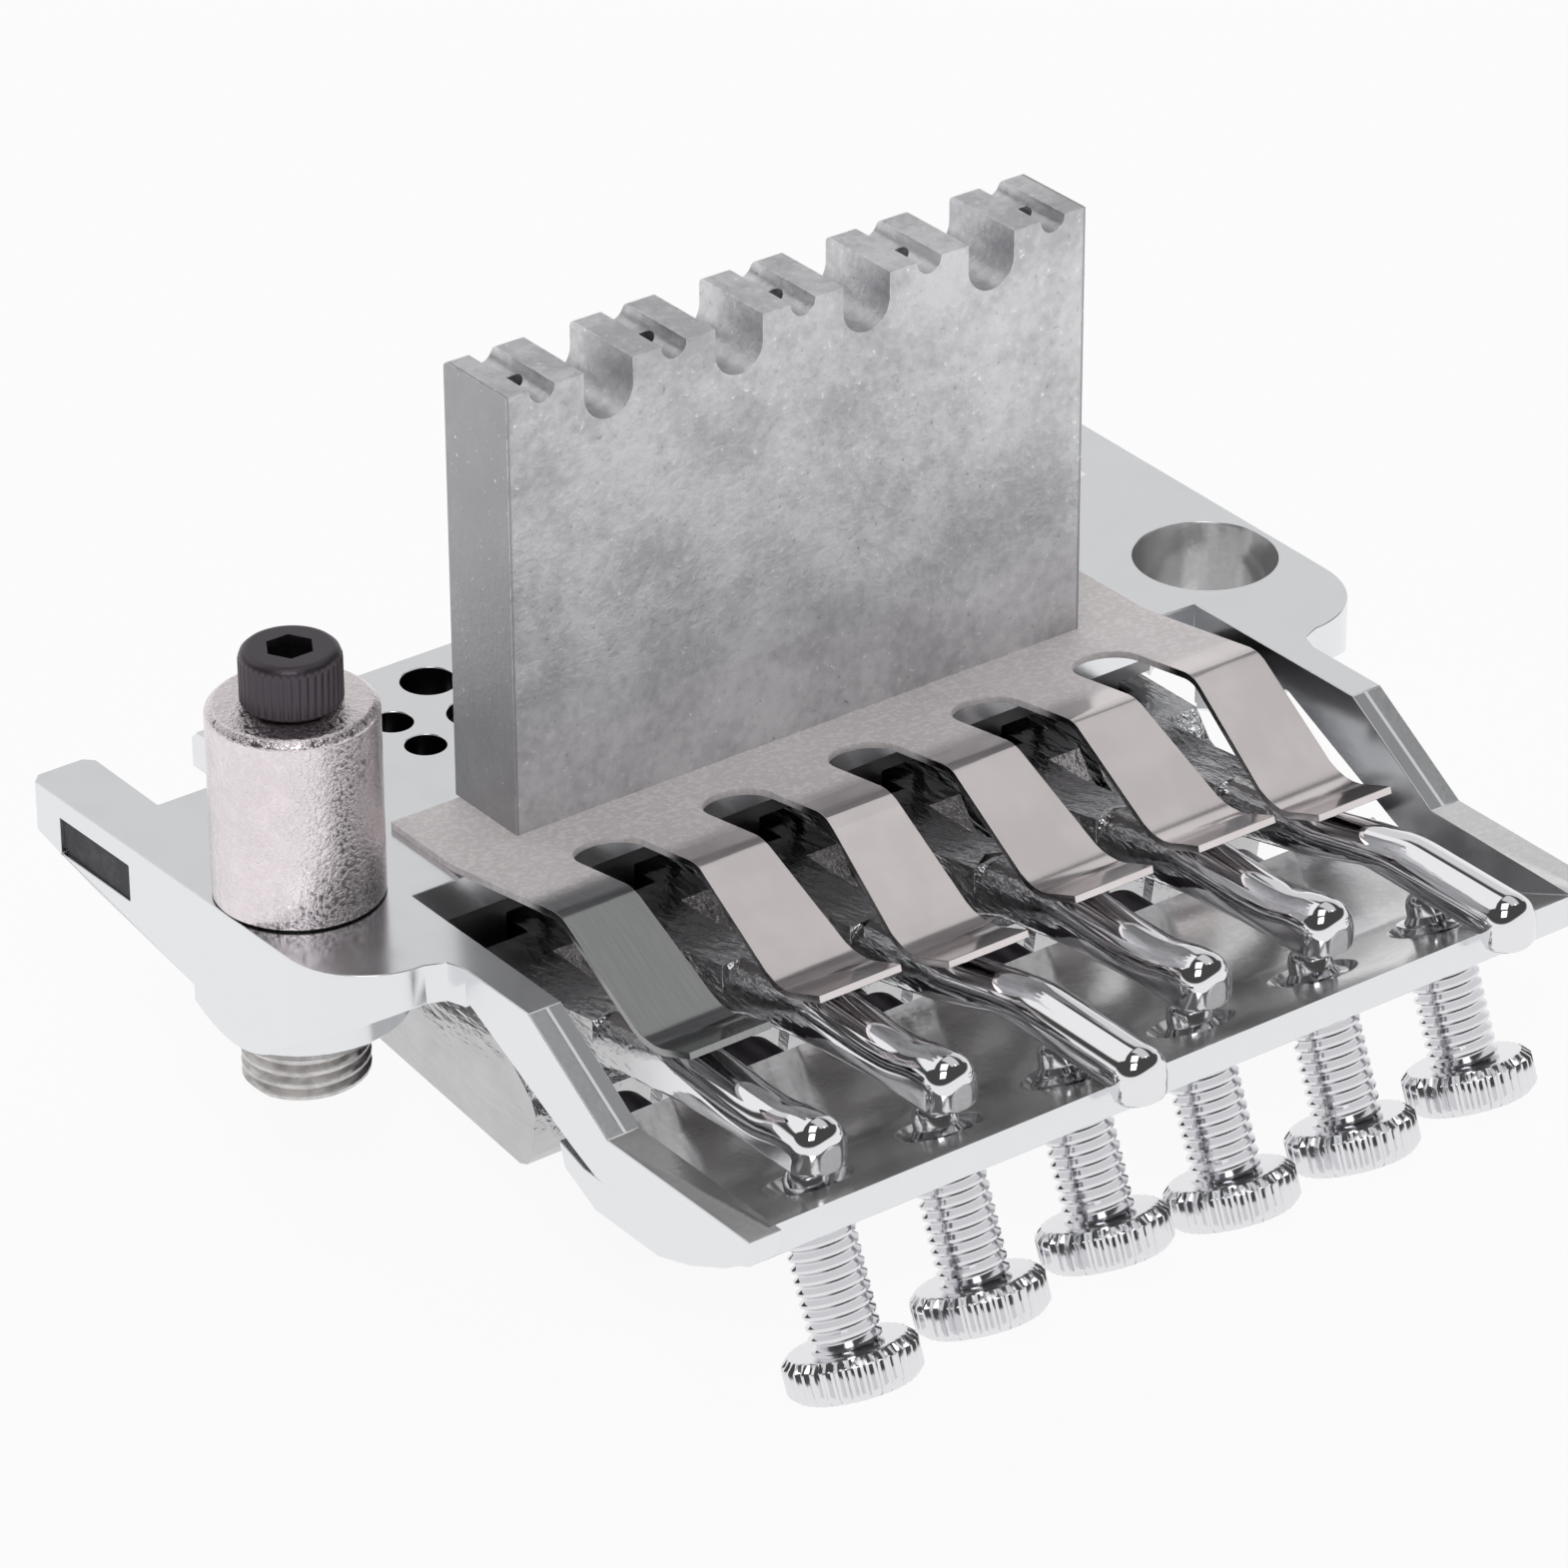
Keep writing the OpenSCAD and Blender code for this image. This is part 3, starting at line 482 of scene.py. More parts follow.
@dataclass(frozen=True)
class RolledNickel(Finish):
    """Nickel-plated spring sheet: warm grey, faintly lined, speckled where it is clamped, with a painted
    dark reflection on its first finger.
    """

    pale: Colour = (0.80, 0.745, 0.745)
    dark: Colour = (0.70, 0.65, 0.65)
    speck: Colour = (0.98, 0.93, 0.935)
    # Colour of the painted dark reflection on the first finger.
    dark_reflection: Colour = (0.26, 0.27, 0.272)
    clear_d: float = 11.5
    fade_d: float = 3.0
    dark_reflection_x: float = 22.5
    cloud_scale: float = 0.22
    speck_scale: float = 2.2
    relief: float = 0.008

    def surface(self, tree: ShaderTree) -> Signal:
        """Warm metal with fine lines, a mottled patch beside the block and a painted dark reflection on the
        first finger.

        Args:
            tree: The material's tree.

        Returns:
            The surface shader.
        """
        place = tree.place()
        lines = tree.noise(tree.place((5.0, 0.3, 0.3)), 1.0, 2.0, 0.5)
        clouds = tree.noise(place, self.cloud_scale, 2.0)
        specks = tree.noise(place, self.speck_scale, 3.0, 0.6)
        edge = DATUM.rear_y / MM - self.clear_d
        across, along, _ = tree.axes(place)
        clamped = along.rise(edge, edge + self.fade_d)
        # Painted reflection: the first finger is darkened as if it mirrored something dark.
        dark_reflection = across.rise(-self.dark_reflection_x, -self.dark_reflection_x - 0.8) * (1.0 - clamped)
        colour = tree.mix(0.6 * clouds.rise(0.35, 0.7) + 0.25 * lines, self.dark, self.pale)
        colour = tree.mix(dark_reflection * (0.8 + 0.2 * lines), colour, self.dark_reflection)
        colour = tree.mix(clamped * (0.5 + 0.5 * specks.rise(0.45, 0.62)), colour, self.speck)
        rough = 0.12 + 0.05 * clouds + (0.34 + 0.3 * specks) * clamped
        normal = tree.bump(0.25 * lines + specks * (0.1 + 4.0 * clamped), self.relief)
        return tree.metal(colour, rough, normal, 1.0 - 0.75 * clamped)


@dataclass(frozen=True)
class TurnedNickel(Finish):
    """Nickel on a turned barrel: warm, finely pitted, with faint rings from the lathe and a foot darkened by
    grime and painted shade.
    """

    pale: Colour = (0.86, 0.79, 0.81)
    dark: Colour = (0.73, 0.67, 0.685)
    # Near black for the foot: partly grime, partly painted shade where the barrel meets the plate.
    grime_and_shade: Colour = (0.03, 0.028, 0.028)
    grime_and_shade_h: float = 0.22
    cloud_scale: float = 0.5
    pit_scale: float = 3.2
    relief: float = 0.03

    def surface(self, tree: ShaderTree) -> Signal:
        """Warm metal with fine rings round its axis.

        Args:
            tree: The material's tree.

        Returns:
            The surface shader.
        """
        place = tree.place()
        rings = tree.noise(tree.place((0.02, 0.02, 7.0)), 1.0, 2.0)
        clouds = tree.noise(place, self.cloud_scale, 3.0, 0.6)
        pits = tree.noise(place, self.pit_scale, 3.0, 0.65)
        # Grime and painted shade: a thin dark ring where the barrel stands on the plate.
        foot = abs(tree.axes(place)[2] - DATUM.face_z / MM).rise(self.grime_and_shade_h, self.grime_and_shade_h * 0.6)
        colour = tree.mix(0.5 * clouds.rise(0.35, 0.7) + 0.5 * pits.rise(0.35, 0.65), self.dark, self.pale)
        rough = 0.14 + 0.08 * clouds
        normal = tree.bump(0.3 * rings + 1.2 * clouds + pits.rise(0.4, 0.7), self.relief)
        return tree.metal(tree.mix(foot, colour, self.grime_and_shade), rough, normal)


@dataclass(frozen=True)
class DarkSteel(Finish):
    """Steel that is blackened by oxide and oil."""

    tint: Colour = (0.055, 0.045, 0.05)
    roughness: float = 0.34
    cloud_scale: float = 0.8
    relief: float = 0.01

    def surface(self, tree: ShaderTree) -> Signal:
        """Nearly black metal with brown clouds.

        Args:
            tree: The material's tree.

        Returns:
            The surface shader.
        """
        clouds = tree.noise(tree.place(), self.cloud_scale, 4.0, 0.6)
        pale = tuple(2.2 * c for c in self.tint)
        colour = tree.mix(clouds.rise(0.4, 0.75), self.tint, pale)
        return tree.metal(colour, self.roughness + 0.12 * clouds, tree.bump(clouds, self.relief))


@dataclass(frozen=True)
class ZincSteel(Finish):
    """Zinc-plated steel on threads and pins."""

    tint: Colour = (0.66, 0.64, 0.63)
    roughness: float = 0.18
    cloud_scale: float = 0.9
    relief: float = 0.01

    def surface(self, tree: ShaderTree) -> Signal:
        """Grey metal with a clouded sheen.

        Args:
            tree: The material's tree.

        Returns:
            The surface shader.
        """
        clouds = tree.noise(tree.place(), self.cloud_scale, 4.0)
        dark = tuple(0.7 * c for c in self.tint)
        colour = tree.mix(clouds.rise(0.3, 0.7), dark, self.tint)
        return tree.metal(colour, self.roughness + 0.14 * clouds, tree.bump(clouds, self.relief))


@dataclass(frozen=True)
class MouldedPlastic(Finish):
    """White moulded plastic."""

    tint: Colour = (0.83, 0.82, 0.78)
    roughness: float = 0.38
    cloud_scale: float = 0.7

    def surface(self, tree: ShaderTree) -> Signal:
        """Off-white plastic with a faint bloom.

        Args:
            tree: The material's tree.

        Returns:
            The surface shader.
        """
        clouds = tree.noise(tree.place(), self.cloud_scale, 3.0)
        colour = tree.mix(clouds, tuple(0.92 * c for c in self.tint), self.tint)
        inputs = {"Base Color": colour, "Roughness": self.roughness + 0.15 * clouds}
        return tree.add("BsdfPrincipled", {}, inputs)


@dataclass(frozen=True)
class PaleFloor(Finish):
    """The studio's white floor, which lies a little under the background's white where a shadow falls."""

    tint: Colour = (0.95, 0.95, 0.95)
    glow: float = 0.9
    strength: float = 1.015

    def surface(self, tree: ShaderTree) -> Signal:
        """Matt white, lifted towards plain white for the rays that show a background.

        Args:
            tree: The material's tree.

        Returns:
            The surface shader.
        """
        path = tree.add("LightPath")
        seen = path.out("Is Camera Ray") + path.out("Is Glossy Ray") + path.out("Is Transmission Ray")
        matt = tree.add("BsdfDiffuse", {}, {"Color": self.tint})
        glow = tree.add("Emission", {}, {"Color": (1, 1, 1), "Strength": self.strength})
        return tree.add("MixShader", {}, {0: seen.least(1.0) * self.glow, 1: matt, 2: glow})


class Look(Enum):
    """The finishes of the bridge's pieces."""

    CASTING = CastChrome("chromed_casting")
    SADDLE = CastChrome("dull_casting", tint=(0.30, 0.30, 0.305), roughness=0.34)
    LEVER = LeverChrome("polished_lever")
    TUNER = PlatedChrome("tuner_chrome")
    ZINC = CastZinc("tumbled_zinc")
    SHEET = RolledNickel("rolled_nickel")
    BARREL = TurnedNickel("turned_nickel")
    OXIDE = DarkSteel("black_oxide")
    KNIFE = DarkSteel("hardened_steel", tint=(0.03, 0.03, 0.033), roughness=0.3)
    STEEL = ZincSteel("zinc_plated_steel")
    PLASTIC = MouldedPlastic("moulded_plastic")


def clear_bench() -> None:
    """Leave edit mode and select nothing."""
    if bpy.context.object and bpy.context.object.mode != "OBJECT":
        bpy.ops.object.mode_set(mode="OBJECT")
    bpy.ops.object.select_all(action="DESELECT")


def pick_only(obj: bpy.types.Object) -> None:
    """Select one object and make it active.

    Args:
        obj: The object.
    """
    clear_bench()
    obj.hide_set(False)
    obj.select_set(True)
    bpy.context.view_layer.objects.active = obj


class Meeting(Enum):
    """What happens where two solids meet."""

    UNITED = "UNION"
    CUT_OUT = "DIFFERENCE"


class Workpiece:
    """A mesh on the bench: each method is one step of the work on it."""

    def __init__(self, obj: bpy.types.Object) -> None:
        """Take an object in hand.

        Args:
            obj: A mesh object at the origin.
        """
        self.obj = obj

    @classmethod
    def ring(cls, name: str, points: Sequence[Vector], filled: bool = True) -> "Workpiece":
        """Start a piece from one outline.

        Args:
            name: The piece's name.
            points: The outline's points in the frame, in metres.
            filled: Whether the outline gets a face.

        Returns:
            The flat piece.
        """
        clear_bench()
        fill = "NGON" if filled else "NOTHING"
        bpy.ops.mesh.primitive_circle_add(vertices=len(points), fill_type=fill, location=(0, 0, 0))
        obj = bpy.context.object
        obj.name = name
        for vertex, point in zip(obj.data.vertices, points):
            vertex.co = point
        return cls(obj)

    @classmethod
    def loft(cls, name: str, rings: Sequence[Sequence[Vector]]) -> "Workpiece":
        """Extrude an outline from ring to ring, with a cap at each end.

        Args:
            name: The piece's name.
            rings: Outlines with the same number of points, in the frame, in metres.

        Returns:
            The closed piece.
        """
        work = cls.ring(name, rings[0])
        for near, far in zip(rings, rings[1:]):
            work.extrude_onto(near, far)
        return work.face_out()

    @classmethod
    def cad_copy(cls, name: str, node: str) -> "Workpiece":
        """Copy a CAD node's mesh, welded and without the edges inside its flat faces.

        Args:
            name: The piece's name.
            node: The CAD node's name.

        Returns:
            The copy.
        """
        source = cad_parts[node]
        pick_only(source)
        bpy.ops.object.duplicate()
        obj = bpy.context.object
        obj.name = name
        obj.parent = None
        obj.matrix_world = Matrix.Identity(4)
        for key in list(obj.keys()):
            del obj[key]
        obj.data.materials.clear()
        pick_only(obj)
        bpy.ops.mesh.customdata_custom_splitnormals_clear()
        return cls(obj).edit_all(
            lambda: bpy.ops.mesh.remove_doubles(threshold=WELD),
            lambda: bpy.ops.mesh.dissolve_limited(angle_limit=math.radians(FLAT)),
        )

    def extrude_onto(self, near: Sequence[Vector], far: Sequence[Vector]) -> None:
        """Extrude the selected outline in place and put its points where they belong.

        Args:
            near: Where the selected points are.
            far: Where the extruded points go.
        """
        bpy.ops.object.mode_set(mode="EDIT")
        bpy.ops.mesh.extrude_region_move(TRANSFORM_OT_translate={"value": (0, 0, 0)})
        bpy.ops.object.mode_set(mode="OBJECT")
        goes = {self._key(a): b for a, b in zip(near, far)}
        for vertex in self.obj.data.vertices:
            if vertex.select:
                vertex.co = goes[self._key(vertex.co)]

    @staticmethod
    def _key(point: Vector) -> tuple[int, ...]:
        """A point rounded to a hundredth of a micrometre, by which it is found again."""
        return tuple(round(c * 1e8) for c in point)

    def modifier(self, kind: str, **settings: Any) -> "Workpiece":
        """Add a modifier and apply it.

        Args:
            kind: The modifier's type.
            settings: Its properties.

        Returns:
            The piece itself.
        """
        pick_only(self.obj)
        made = self.obj.modifiers.new(kind.lower(), kind)
        for name, value in settings.items():
            setattr(made, name, value)
        bpy.ops.object.modifier_apply(modifier=made.name)
        return self

    def bevel(self, width: float, segments: int = 3, angle: float = 25.0, worn: bool = False) -> "Workpiece":
        """Round the piece's sharp edges.

        Args:
            width: Width of the bevel in millimetres.
            segments: Faces across the bevel.
            angle: Edges that turn by more than this many degrees are rounded.
            worn: Whether the new faces are marked as worn.

        Returns:
            The piece itself.
        """
        settings = {"width": width * MM, "segments": segments, "limit_method": "ANGLE",
                    "angle_limit": math.radians(angle), "miter_outer": "MITER_ARC"}
        if worn:
            for slot in ("plain", "edge"):
                self.obj.data.materials.append(None)
            settings["material"] = 1
        self.modifier("BEVEL", **settings)
        if worn:
            self._mark_wear()
        return self

    def _mark_wear(self) -> None:
        """Store which faces came from the bevel, and give all faces the first material."""
        mesh = self.obj.data
        wear = mesh.attributes.new("wear", "FLOAT", "CORNER")
        for polygon in mesh.polygons:
            for loop in polygon.loop_indices:
                wear.data[loop].value = float(polygon.material_index == 1)
            polygon.material_index = 0
        mesh.materials.clear()

    def paint(self, zone: str, wanted: Callable[[Vector, Vector], bool]) -> "Workpiece":
        """Store an attribute that is 1 on the wanted faces, apart from worn edges, and 0 elsewhere.

        Args:
            zone: The attribute's name.
            wanted: Tells from a face's place (x, d, z in millimetres) and normal whether it belongs.

        Returns:
            The piece itself.
        """
        mesh = self.obj.data
        values = mesh.attributes.new(zone, "FLOAT", "CORNER").data
        wear = mesh.attributes["wear"].data
        for polygon in mesh.polygons:
            plain = wear[polygon.loop_start].value < 0.5
            value = float(plain and wanted(DATUM.back(polygon.center), polygon.normal))
            for loop in polygon.loop_indices:
                values[loop].value = value
        return self

    def edit(self, *steps: Callable[[], Any]) -> "Workpiece":
        """Run operators in edit mode.

        Args:
            steps: The calls, in order.

        Returns:
            The piece itself.
        """
        pick_only(self.obj)
        bpy.ops.object.mode_set(mode="EDIT")
        for step in steps:
            step()
        bpy.ops.object.mode_set(mode="OBJECT")
        return self

    def edit_all(self, *steps: Callable[[], Any]) -> "Workpiece":
        """Run operators in edit mode on the whole mesh."""
        return self.edit(lambda: bpy.ops.mesh.select_all(action="SELECT"), *steps)

    def face_out(self) -> "Workpiece":
        """Weld the piece and turn its faces outwards.

        Returns:
            The piece itself.
        """
        return self.edit_all(
            lambda: bpy.ops.mesh.remove_doubles(threshold=WELD),
            lambda: bpy.ops.mesh.normals_make_consistent(inside=False),
        )

    def cut(self, place: Vector, normal: Vector) -> "Workpiece":
        """Cut the piece with a plane, throw away what lies on the normal's side, and close the cut.

        Args:
            place: A point on the plane.
            normal: The plane's normal.

        Returns:
            The piece itself.
        """
        return self.edit_all(
            lambda: bpy.ops.mesh.bisect(plane_co=place, plane_no=normal, use_fill=True, clear_outer=True),
        )

    def join_solid(self, other: "Workpiece", meeting: Meeting = Meeting.UNITED) -> "Workpiece":
        """Unite the piece with another solid, or cut the other out of it.

        Args:
            other: The other solid, which is used up.
            meeting: Whether it is united with the piece or cut out of it.

        Returns:
            The piece itself.
        """
        self.modifier("BOOLEAN", operation=meeting.value, object=other.obj, solver="EXACT")
        bpy.data.objects.remove(other.obj)
        return self

    def copy(self, name: str) -> "Workpiece":
        """Copy the piece with its own mesh.

        Args:
            name: The copy's name.

        Returns:
            The copy.
        """
        pick_only(self.obj)
        bpy.ops.object.duplicate()
        obj = bpy.context.object
        obj.name = name
        return Workpiece(obj)

    def smooth(self, angle: float = 40.0) -> "Workpiece":
        """Shade the piece smoothly, led by its large faces.

        Args:
            angle: Edges that turn by less than this many degrees are smoothed.

        Returns:
            The piece itself.
        """
        pick_only(self.obj)
        bpy.ops.object.shade_smooth_by_angle(angle=math.radians(angle))
        return self.modifier("WEIGHTED_NORMAL", keep_sharp=True, weight=80)

    def stands_for(self, look: Look, slot: str, body: str, *nodes: str) -> "Workpiece":
        """Give the finished piece its look, its body and the CAD nodes that it replaces.

        Args:
            look: The finish.
            slot: Not used.
            body: The CAD body that it rides on.
            nodes: The CAD nodes that it stands for.

        Returns:
            The piece itself.
        """
        look.value.coat(self.obj)
        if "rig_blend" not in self.obj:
            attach(self.obj, body)
        if nodes:
            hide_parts(*nodes)
        log.info("%s: %d faces, on %s", self.obj.name, len(self.obj.data.polygons), body)
        return self


@dataclass(frozen=True)
class Axis:
    """A turning axis for lathe work: a place on it, its direction and one across it."""

    origin: Vector
    along: Vector
    side: Vector = field(default_factory=lambda: Vector((1, 0, 0)))

    def point(self, radius: float, angle: float, height: float) -> Vector:
        """A point near the axis.

        Args:
            radius: Its distance from the axis in millimetres.
            angle: Its angle from side in radians.
            height: Its place along the axis in millimetres.

        Returns:
            The point in the frame.
        """
        third = self.along.cross(self.side)
        return self.origin + MM * (
            radius * math.cos(angle) * self.side + radius * math.sin(angle) * third + height * self.along
        )

    def circle(self, radius: float, height: float, count: int) -> list[Vector]:
        """A ring of points round the axis."""
        return [self.point(radius, 2 * math.pi * k / count, height) for k in range(count)]


@dataclass(frozen=True)
class Thread:
    """A cut thread in millimetres; crest and root are shares of the pitch, and lead is a run-in in turns."""

    diameter: float
    pitch: float
    depth: float
    crest: float = 0.25
    root: float = 0.08
    lead: int = 2
    steps: int = 32

    def rod(self, name: str, length: float) -> Workpiece:
        """A threaded rod along +Z from the origin.

        Args:
            name: The piece's name.
            length: The rod's length.

        Returns:
            The closed rod.
        """
        outer, inner = self.diameter / 2, self.diameter / 2 - self.depth
        rise = (1 - self.root - self.crest) / 2
        fall = 1 - self.root
        profile = [(inner, 0.0), (outer, rise), (outer, rise + self.crest), (inner, fall), (inner, 1.0)]
        points = [MM * Vector((radius, 0, (height - self.lead) * self.pitch)) for radius, height in profile]
        work = Workpiece.ring(name, points, filled=False)
        work.edit(
            lambda: bpy.ops.mesh.select_mode(type="EDGE"),
            lambda: bpy.ops.mesh.select_all(action="DESELECT"),
        )
        for edge in work.obj.data.edges:
            edge.select = set(edge.vertices) == {0, len(profile) - 1}
        work.edit(lambda: bpy.ops.mesh.delete(type="EDGE"))
        turns = math.ceil(length / self.pitch) + self.lead + 1
        work.modifier(
            "SCREW", axis="Z", angle=2 * math.pi, screw_offset=self.pitch * MM, iterations=turns,
            steps=self.steps, render_steps=self.steps, use_merge_vertices=True, merge_threshold=WELD,
        )
        work.edit_all(lambda: bpy.ops.mesh.remove_doubles(threshold=WELD))
        work.cut(Vector((0, 0, length * MM)), Vector((0, 0, 1)))
        work.cut(Vector((0, 0, 0)), Vector((0, 0, -1)))
        return work.face_out()


def arc(x: float, z: float, radius: float, degrees: range) -> list[tuple[float, float]]:
    """Points on a circle round x and z, one for each angle."""
    return [(x + radius * math.cos(a), z + radius * math.sin(a)) for a in map(math.radians, degrees)]


def lathe(name: str, axis: Axis, profile: Sequence[tuple[float, float]], count: int) -> Workpiece:
    """Turn a solid piece.

    Args:
        name: The piece's name.
        axis: Its axis.
        profile: Radius and height of each ring, in millimetres, from one end to the other.
        count: Points round the axis.

    Returns:
        The closed piece.
    """
    return Workpiece.loft(name, [axis.circle(radius, height, count) for radius, height in profile])


@dataclass(frozen=True)
class Region:
    """A part of the bridge, in millimetres: how far from its middle line, d, and z."""

    out: tuple[float, float]
    d: tuple[float, float]
    z: tuple[float, float] = (-99, 99)

    def holds(self, at: Vector) -> bool:
        """Whether a place lies inside."""
        pairs = zip((self.out, self.d, self.z), (abs(at.x), at.y, at.z))
        return all(low < value < high for (low, high), value in pairs)


@dataclass
class BasePlate:
    """The chromed base plate with its rails and tuner bar; its regions get finishes of their own."""

    edge: float = 0.22
    knife_edge: float = 0.12
    hole_x: float = 39.6
    hole_d: float = -3.9
    hole_r: float = 6.2
    inlays: Region = Region((33.5, 50), (18, 28))
    bar_slope: Region = Region((-1, 34), (19, 50))
    bar_back: Region = Region((-1, 50), (27.5, 50))
    bores: Region = Region((-1, 31), (-25, -8), (-2.9, -0.1))

    def build(self) -> None:
        """Round the casting's edges and dress it."""
        plate = Workpiece.cad_copy("base_plate_casting", "base_plate")
        plate.bevel(self.edge, 3, 28, worn=True)
        plate.paint("cast", self._is_cast)
        plate.paint("dull", self._is_dull)
        # The bore zone marks the hole walls that get painted shade.
        plate.paint("bore", self._is_bore)
        plate.smooth(35)
        plate.stands_for(Look.CASTING, "chrome_casting", "bridge", "base_plate")
        for side in ("left", "right"):
            knife = Workpiece.cad_copy(f"knife_bar_{side}", f"knife_edge_{side}")
            knife.bevel(self.knife_edge, 2).smooth()
            knife.stands_for(Look.KNIFE, "dark_steel", "bridge", f"knife_edge_{side}")

    def _is_cast(self, at: Vector, normal: Vector) -> bool:
        """Whether a face is a rail's inlay, which keeps the casting's grain."""
        return self.inlays.holds(at) and normal.z > 0.6

    def _is_dull(self, at: Vector, normal: Vector) -> bool:
        """Whether a face lies on the tuner bar or in the free arm hole, where the chrome is dull.

        Args:
            at: The face's place, in millimetres.
            normal: Its normal.

        Returns:
            Whether it does.
        """
        bar = normal.z > 0.5 and (self.bar_slope.holds(at) or self.bar_back.holds(at))
        hole = math.hypot(at.x - self.hole_x, at.y - self.hole_d) < self.hole_r and abs(normal.z) < 0.5
        return bar or hole

    def _is_bore(self, at: Vector, normal: Vector) -> bool:
        """Whether a face is the wall of a screw hole in front of the block, where painted shade darkens it.
        """
        return self.bores.holds(at) and abs(normal.z) < 0.7


@dataclass
class SustainBlock:
    """The zinc block with its worn edges, and the screws that hold it."""

    edge: float = 0.25
    screw_edge: float = 0.1

    def build(self) -> None:
        """Round and dress the block and its screws."""
        block = Workpiece.cad_copy("block_casting", "sustain_block")
        block.bevel(self.edge, 3, 30, worn=True).smooth(35)
        block.stands_for(Look.ZINC, "cast_zinc", "bridge", "sustain_block")
        screws = Workpiece.cad_copy("block_bolts", "block_screws")
        screws.bevel(self.screw_edge, 2).smooth()
        screws.stands_for(Look.OXIDE, "black_oxide", "bridge", "block_screws")


@dataclass
class LeafSpring:
    """The spring sheet with six fingers that rest on the tails."""

    root_d: float = 9.0
    grip_d: float = 23.0
    edge: float = 0.15

    def build(self) -> None:
        """Round the sheet's edges, then part it into its clamped base and six bending fingers."""
        sheet = Workpiece.cad_copy("spring_sheet", "leaf_spring").bevel(self.edge, 2, 40)
        for i in STRINGS:
            finger = sheet.copy(f"spring_finger_{i}")
            finger.cut(DATUM.at(0, self.root_d, 0), Vector((0, 1, 0)))
            finger.cut(DATUM.at(string_x(i) - PITCH / 2, 0, 0), Vector((-1, 0, 0)))
            finger.cut(DATUM.at(string_x(i) + PITCH / 2, 0, 0), Vector((1, 0, 0)))
            finger.smooth(35)
            start, end = (DATUM.at(string_x(i), d, 0) for d in (self.root_d, self.grip_d))
            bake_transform(finger.obj, "bridge", f"saddle_{i}", start, end)
            finger.stands_for(Look.SHEET, "spring_sheet", "bridge", "leaf_spring")
        sheet.cut(DATUM.at(0, self.root_d, 0), Vector((0, -1, 0))).smooth(35)
        sheet.stands_for(Look.SHEET, "spring_sheet", "bridge", "leaf_spring")


def knurled(
    name: str, axis: Axis, profile: Sequence[tuple[float, float, float]], ridges: int, depth: float
) -> Workpiece:
    """Turn a solid piece and roll ridges into it.

    Args:
        name: The piece's name.
        axis: Its axis.
        profile: Radius, height and share of the full ridge depth for each ring, in millimetres.
        ridges: How many ridges it has.
        depth: The valleys' full depth.

    Returns:
        The closed piece.
    """
    valley = (0, 0, 0, 0.55, 1, 1, 1, 0.55)
    count = ridges * len(valley)
    return Workpiece.loft(name, [
        [
            axis.point(radius - depth * share * valley[k % len(valley)], 2 * math.pi * k / count, height)
            for k in range(count)
        ]
        for radius, height, share in profile
    ])


@dataclass(frozen=True)
class RolledEdge:
    """The rounded edge of a ridged head: each step's inset, height and share of the full ridge depth."""

    steps: tuple[tuple[float, float, float], ...]

    def rings(self, radius: float, end: float, way: int) -> list[tuple[float, float, float]]:
        """The edge's rings on one end of a head, from the end inwards.

        Args:
            radius: The head's radius.
            end: The height of the end.
            way: 1 where the head lies above the end, and -1 where it lies below.

        Returns:
            Radius, height and share of the full ridge depth for each ring.
        """
        return [(radius - inset, end + way * height, share) for inset, height, share in self.steps]


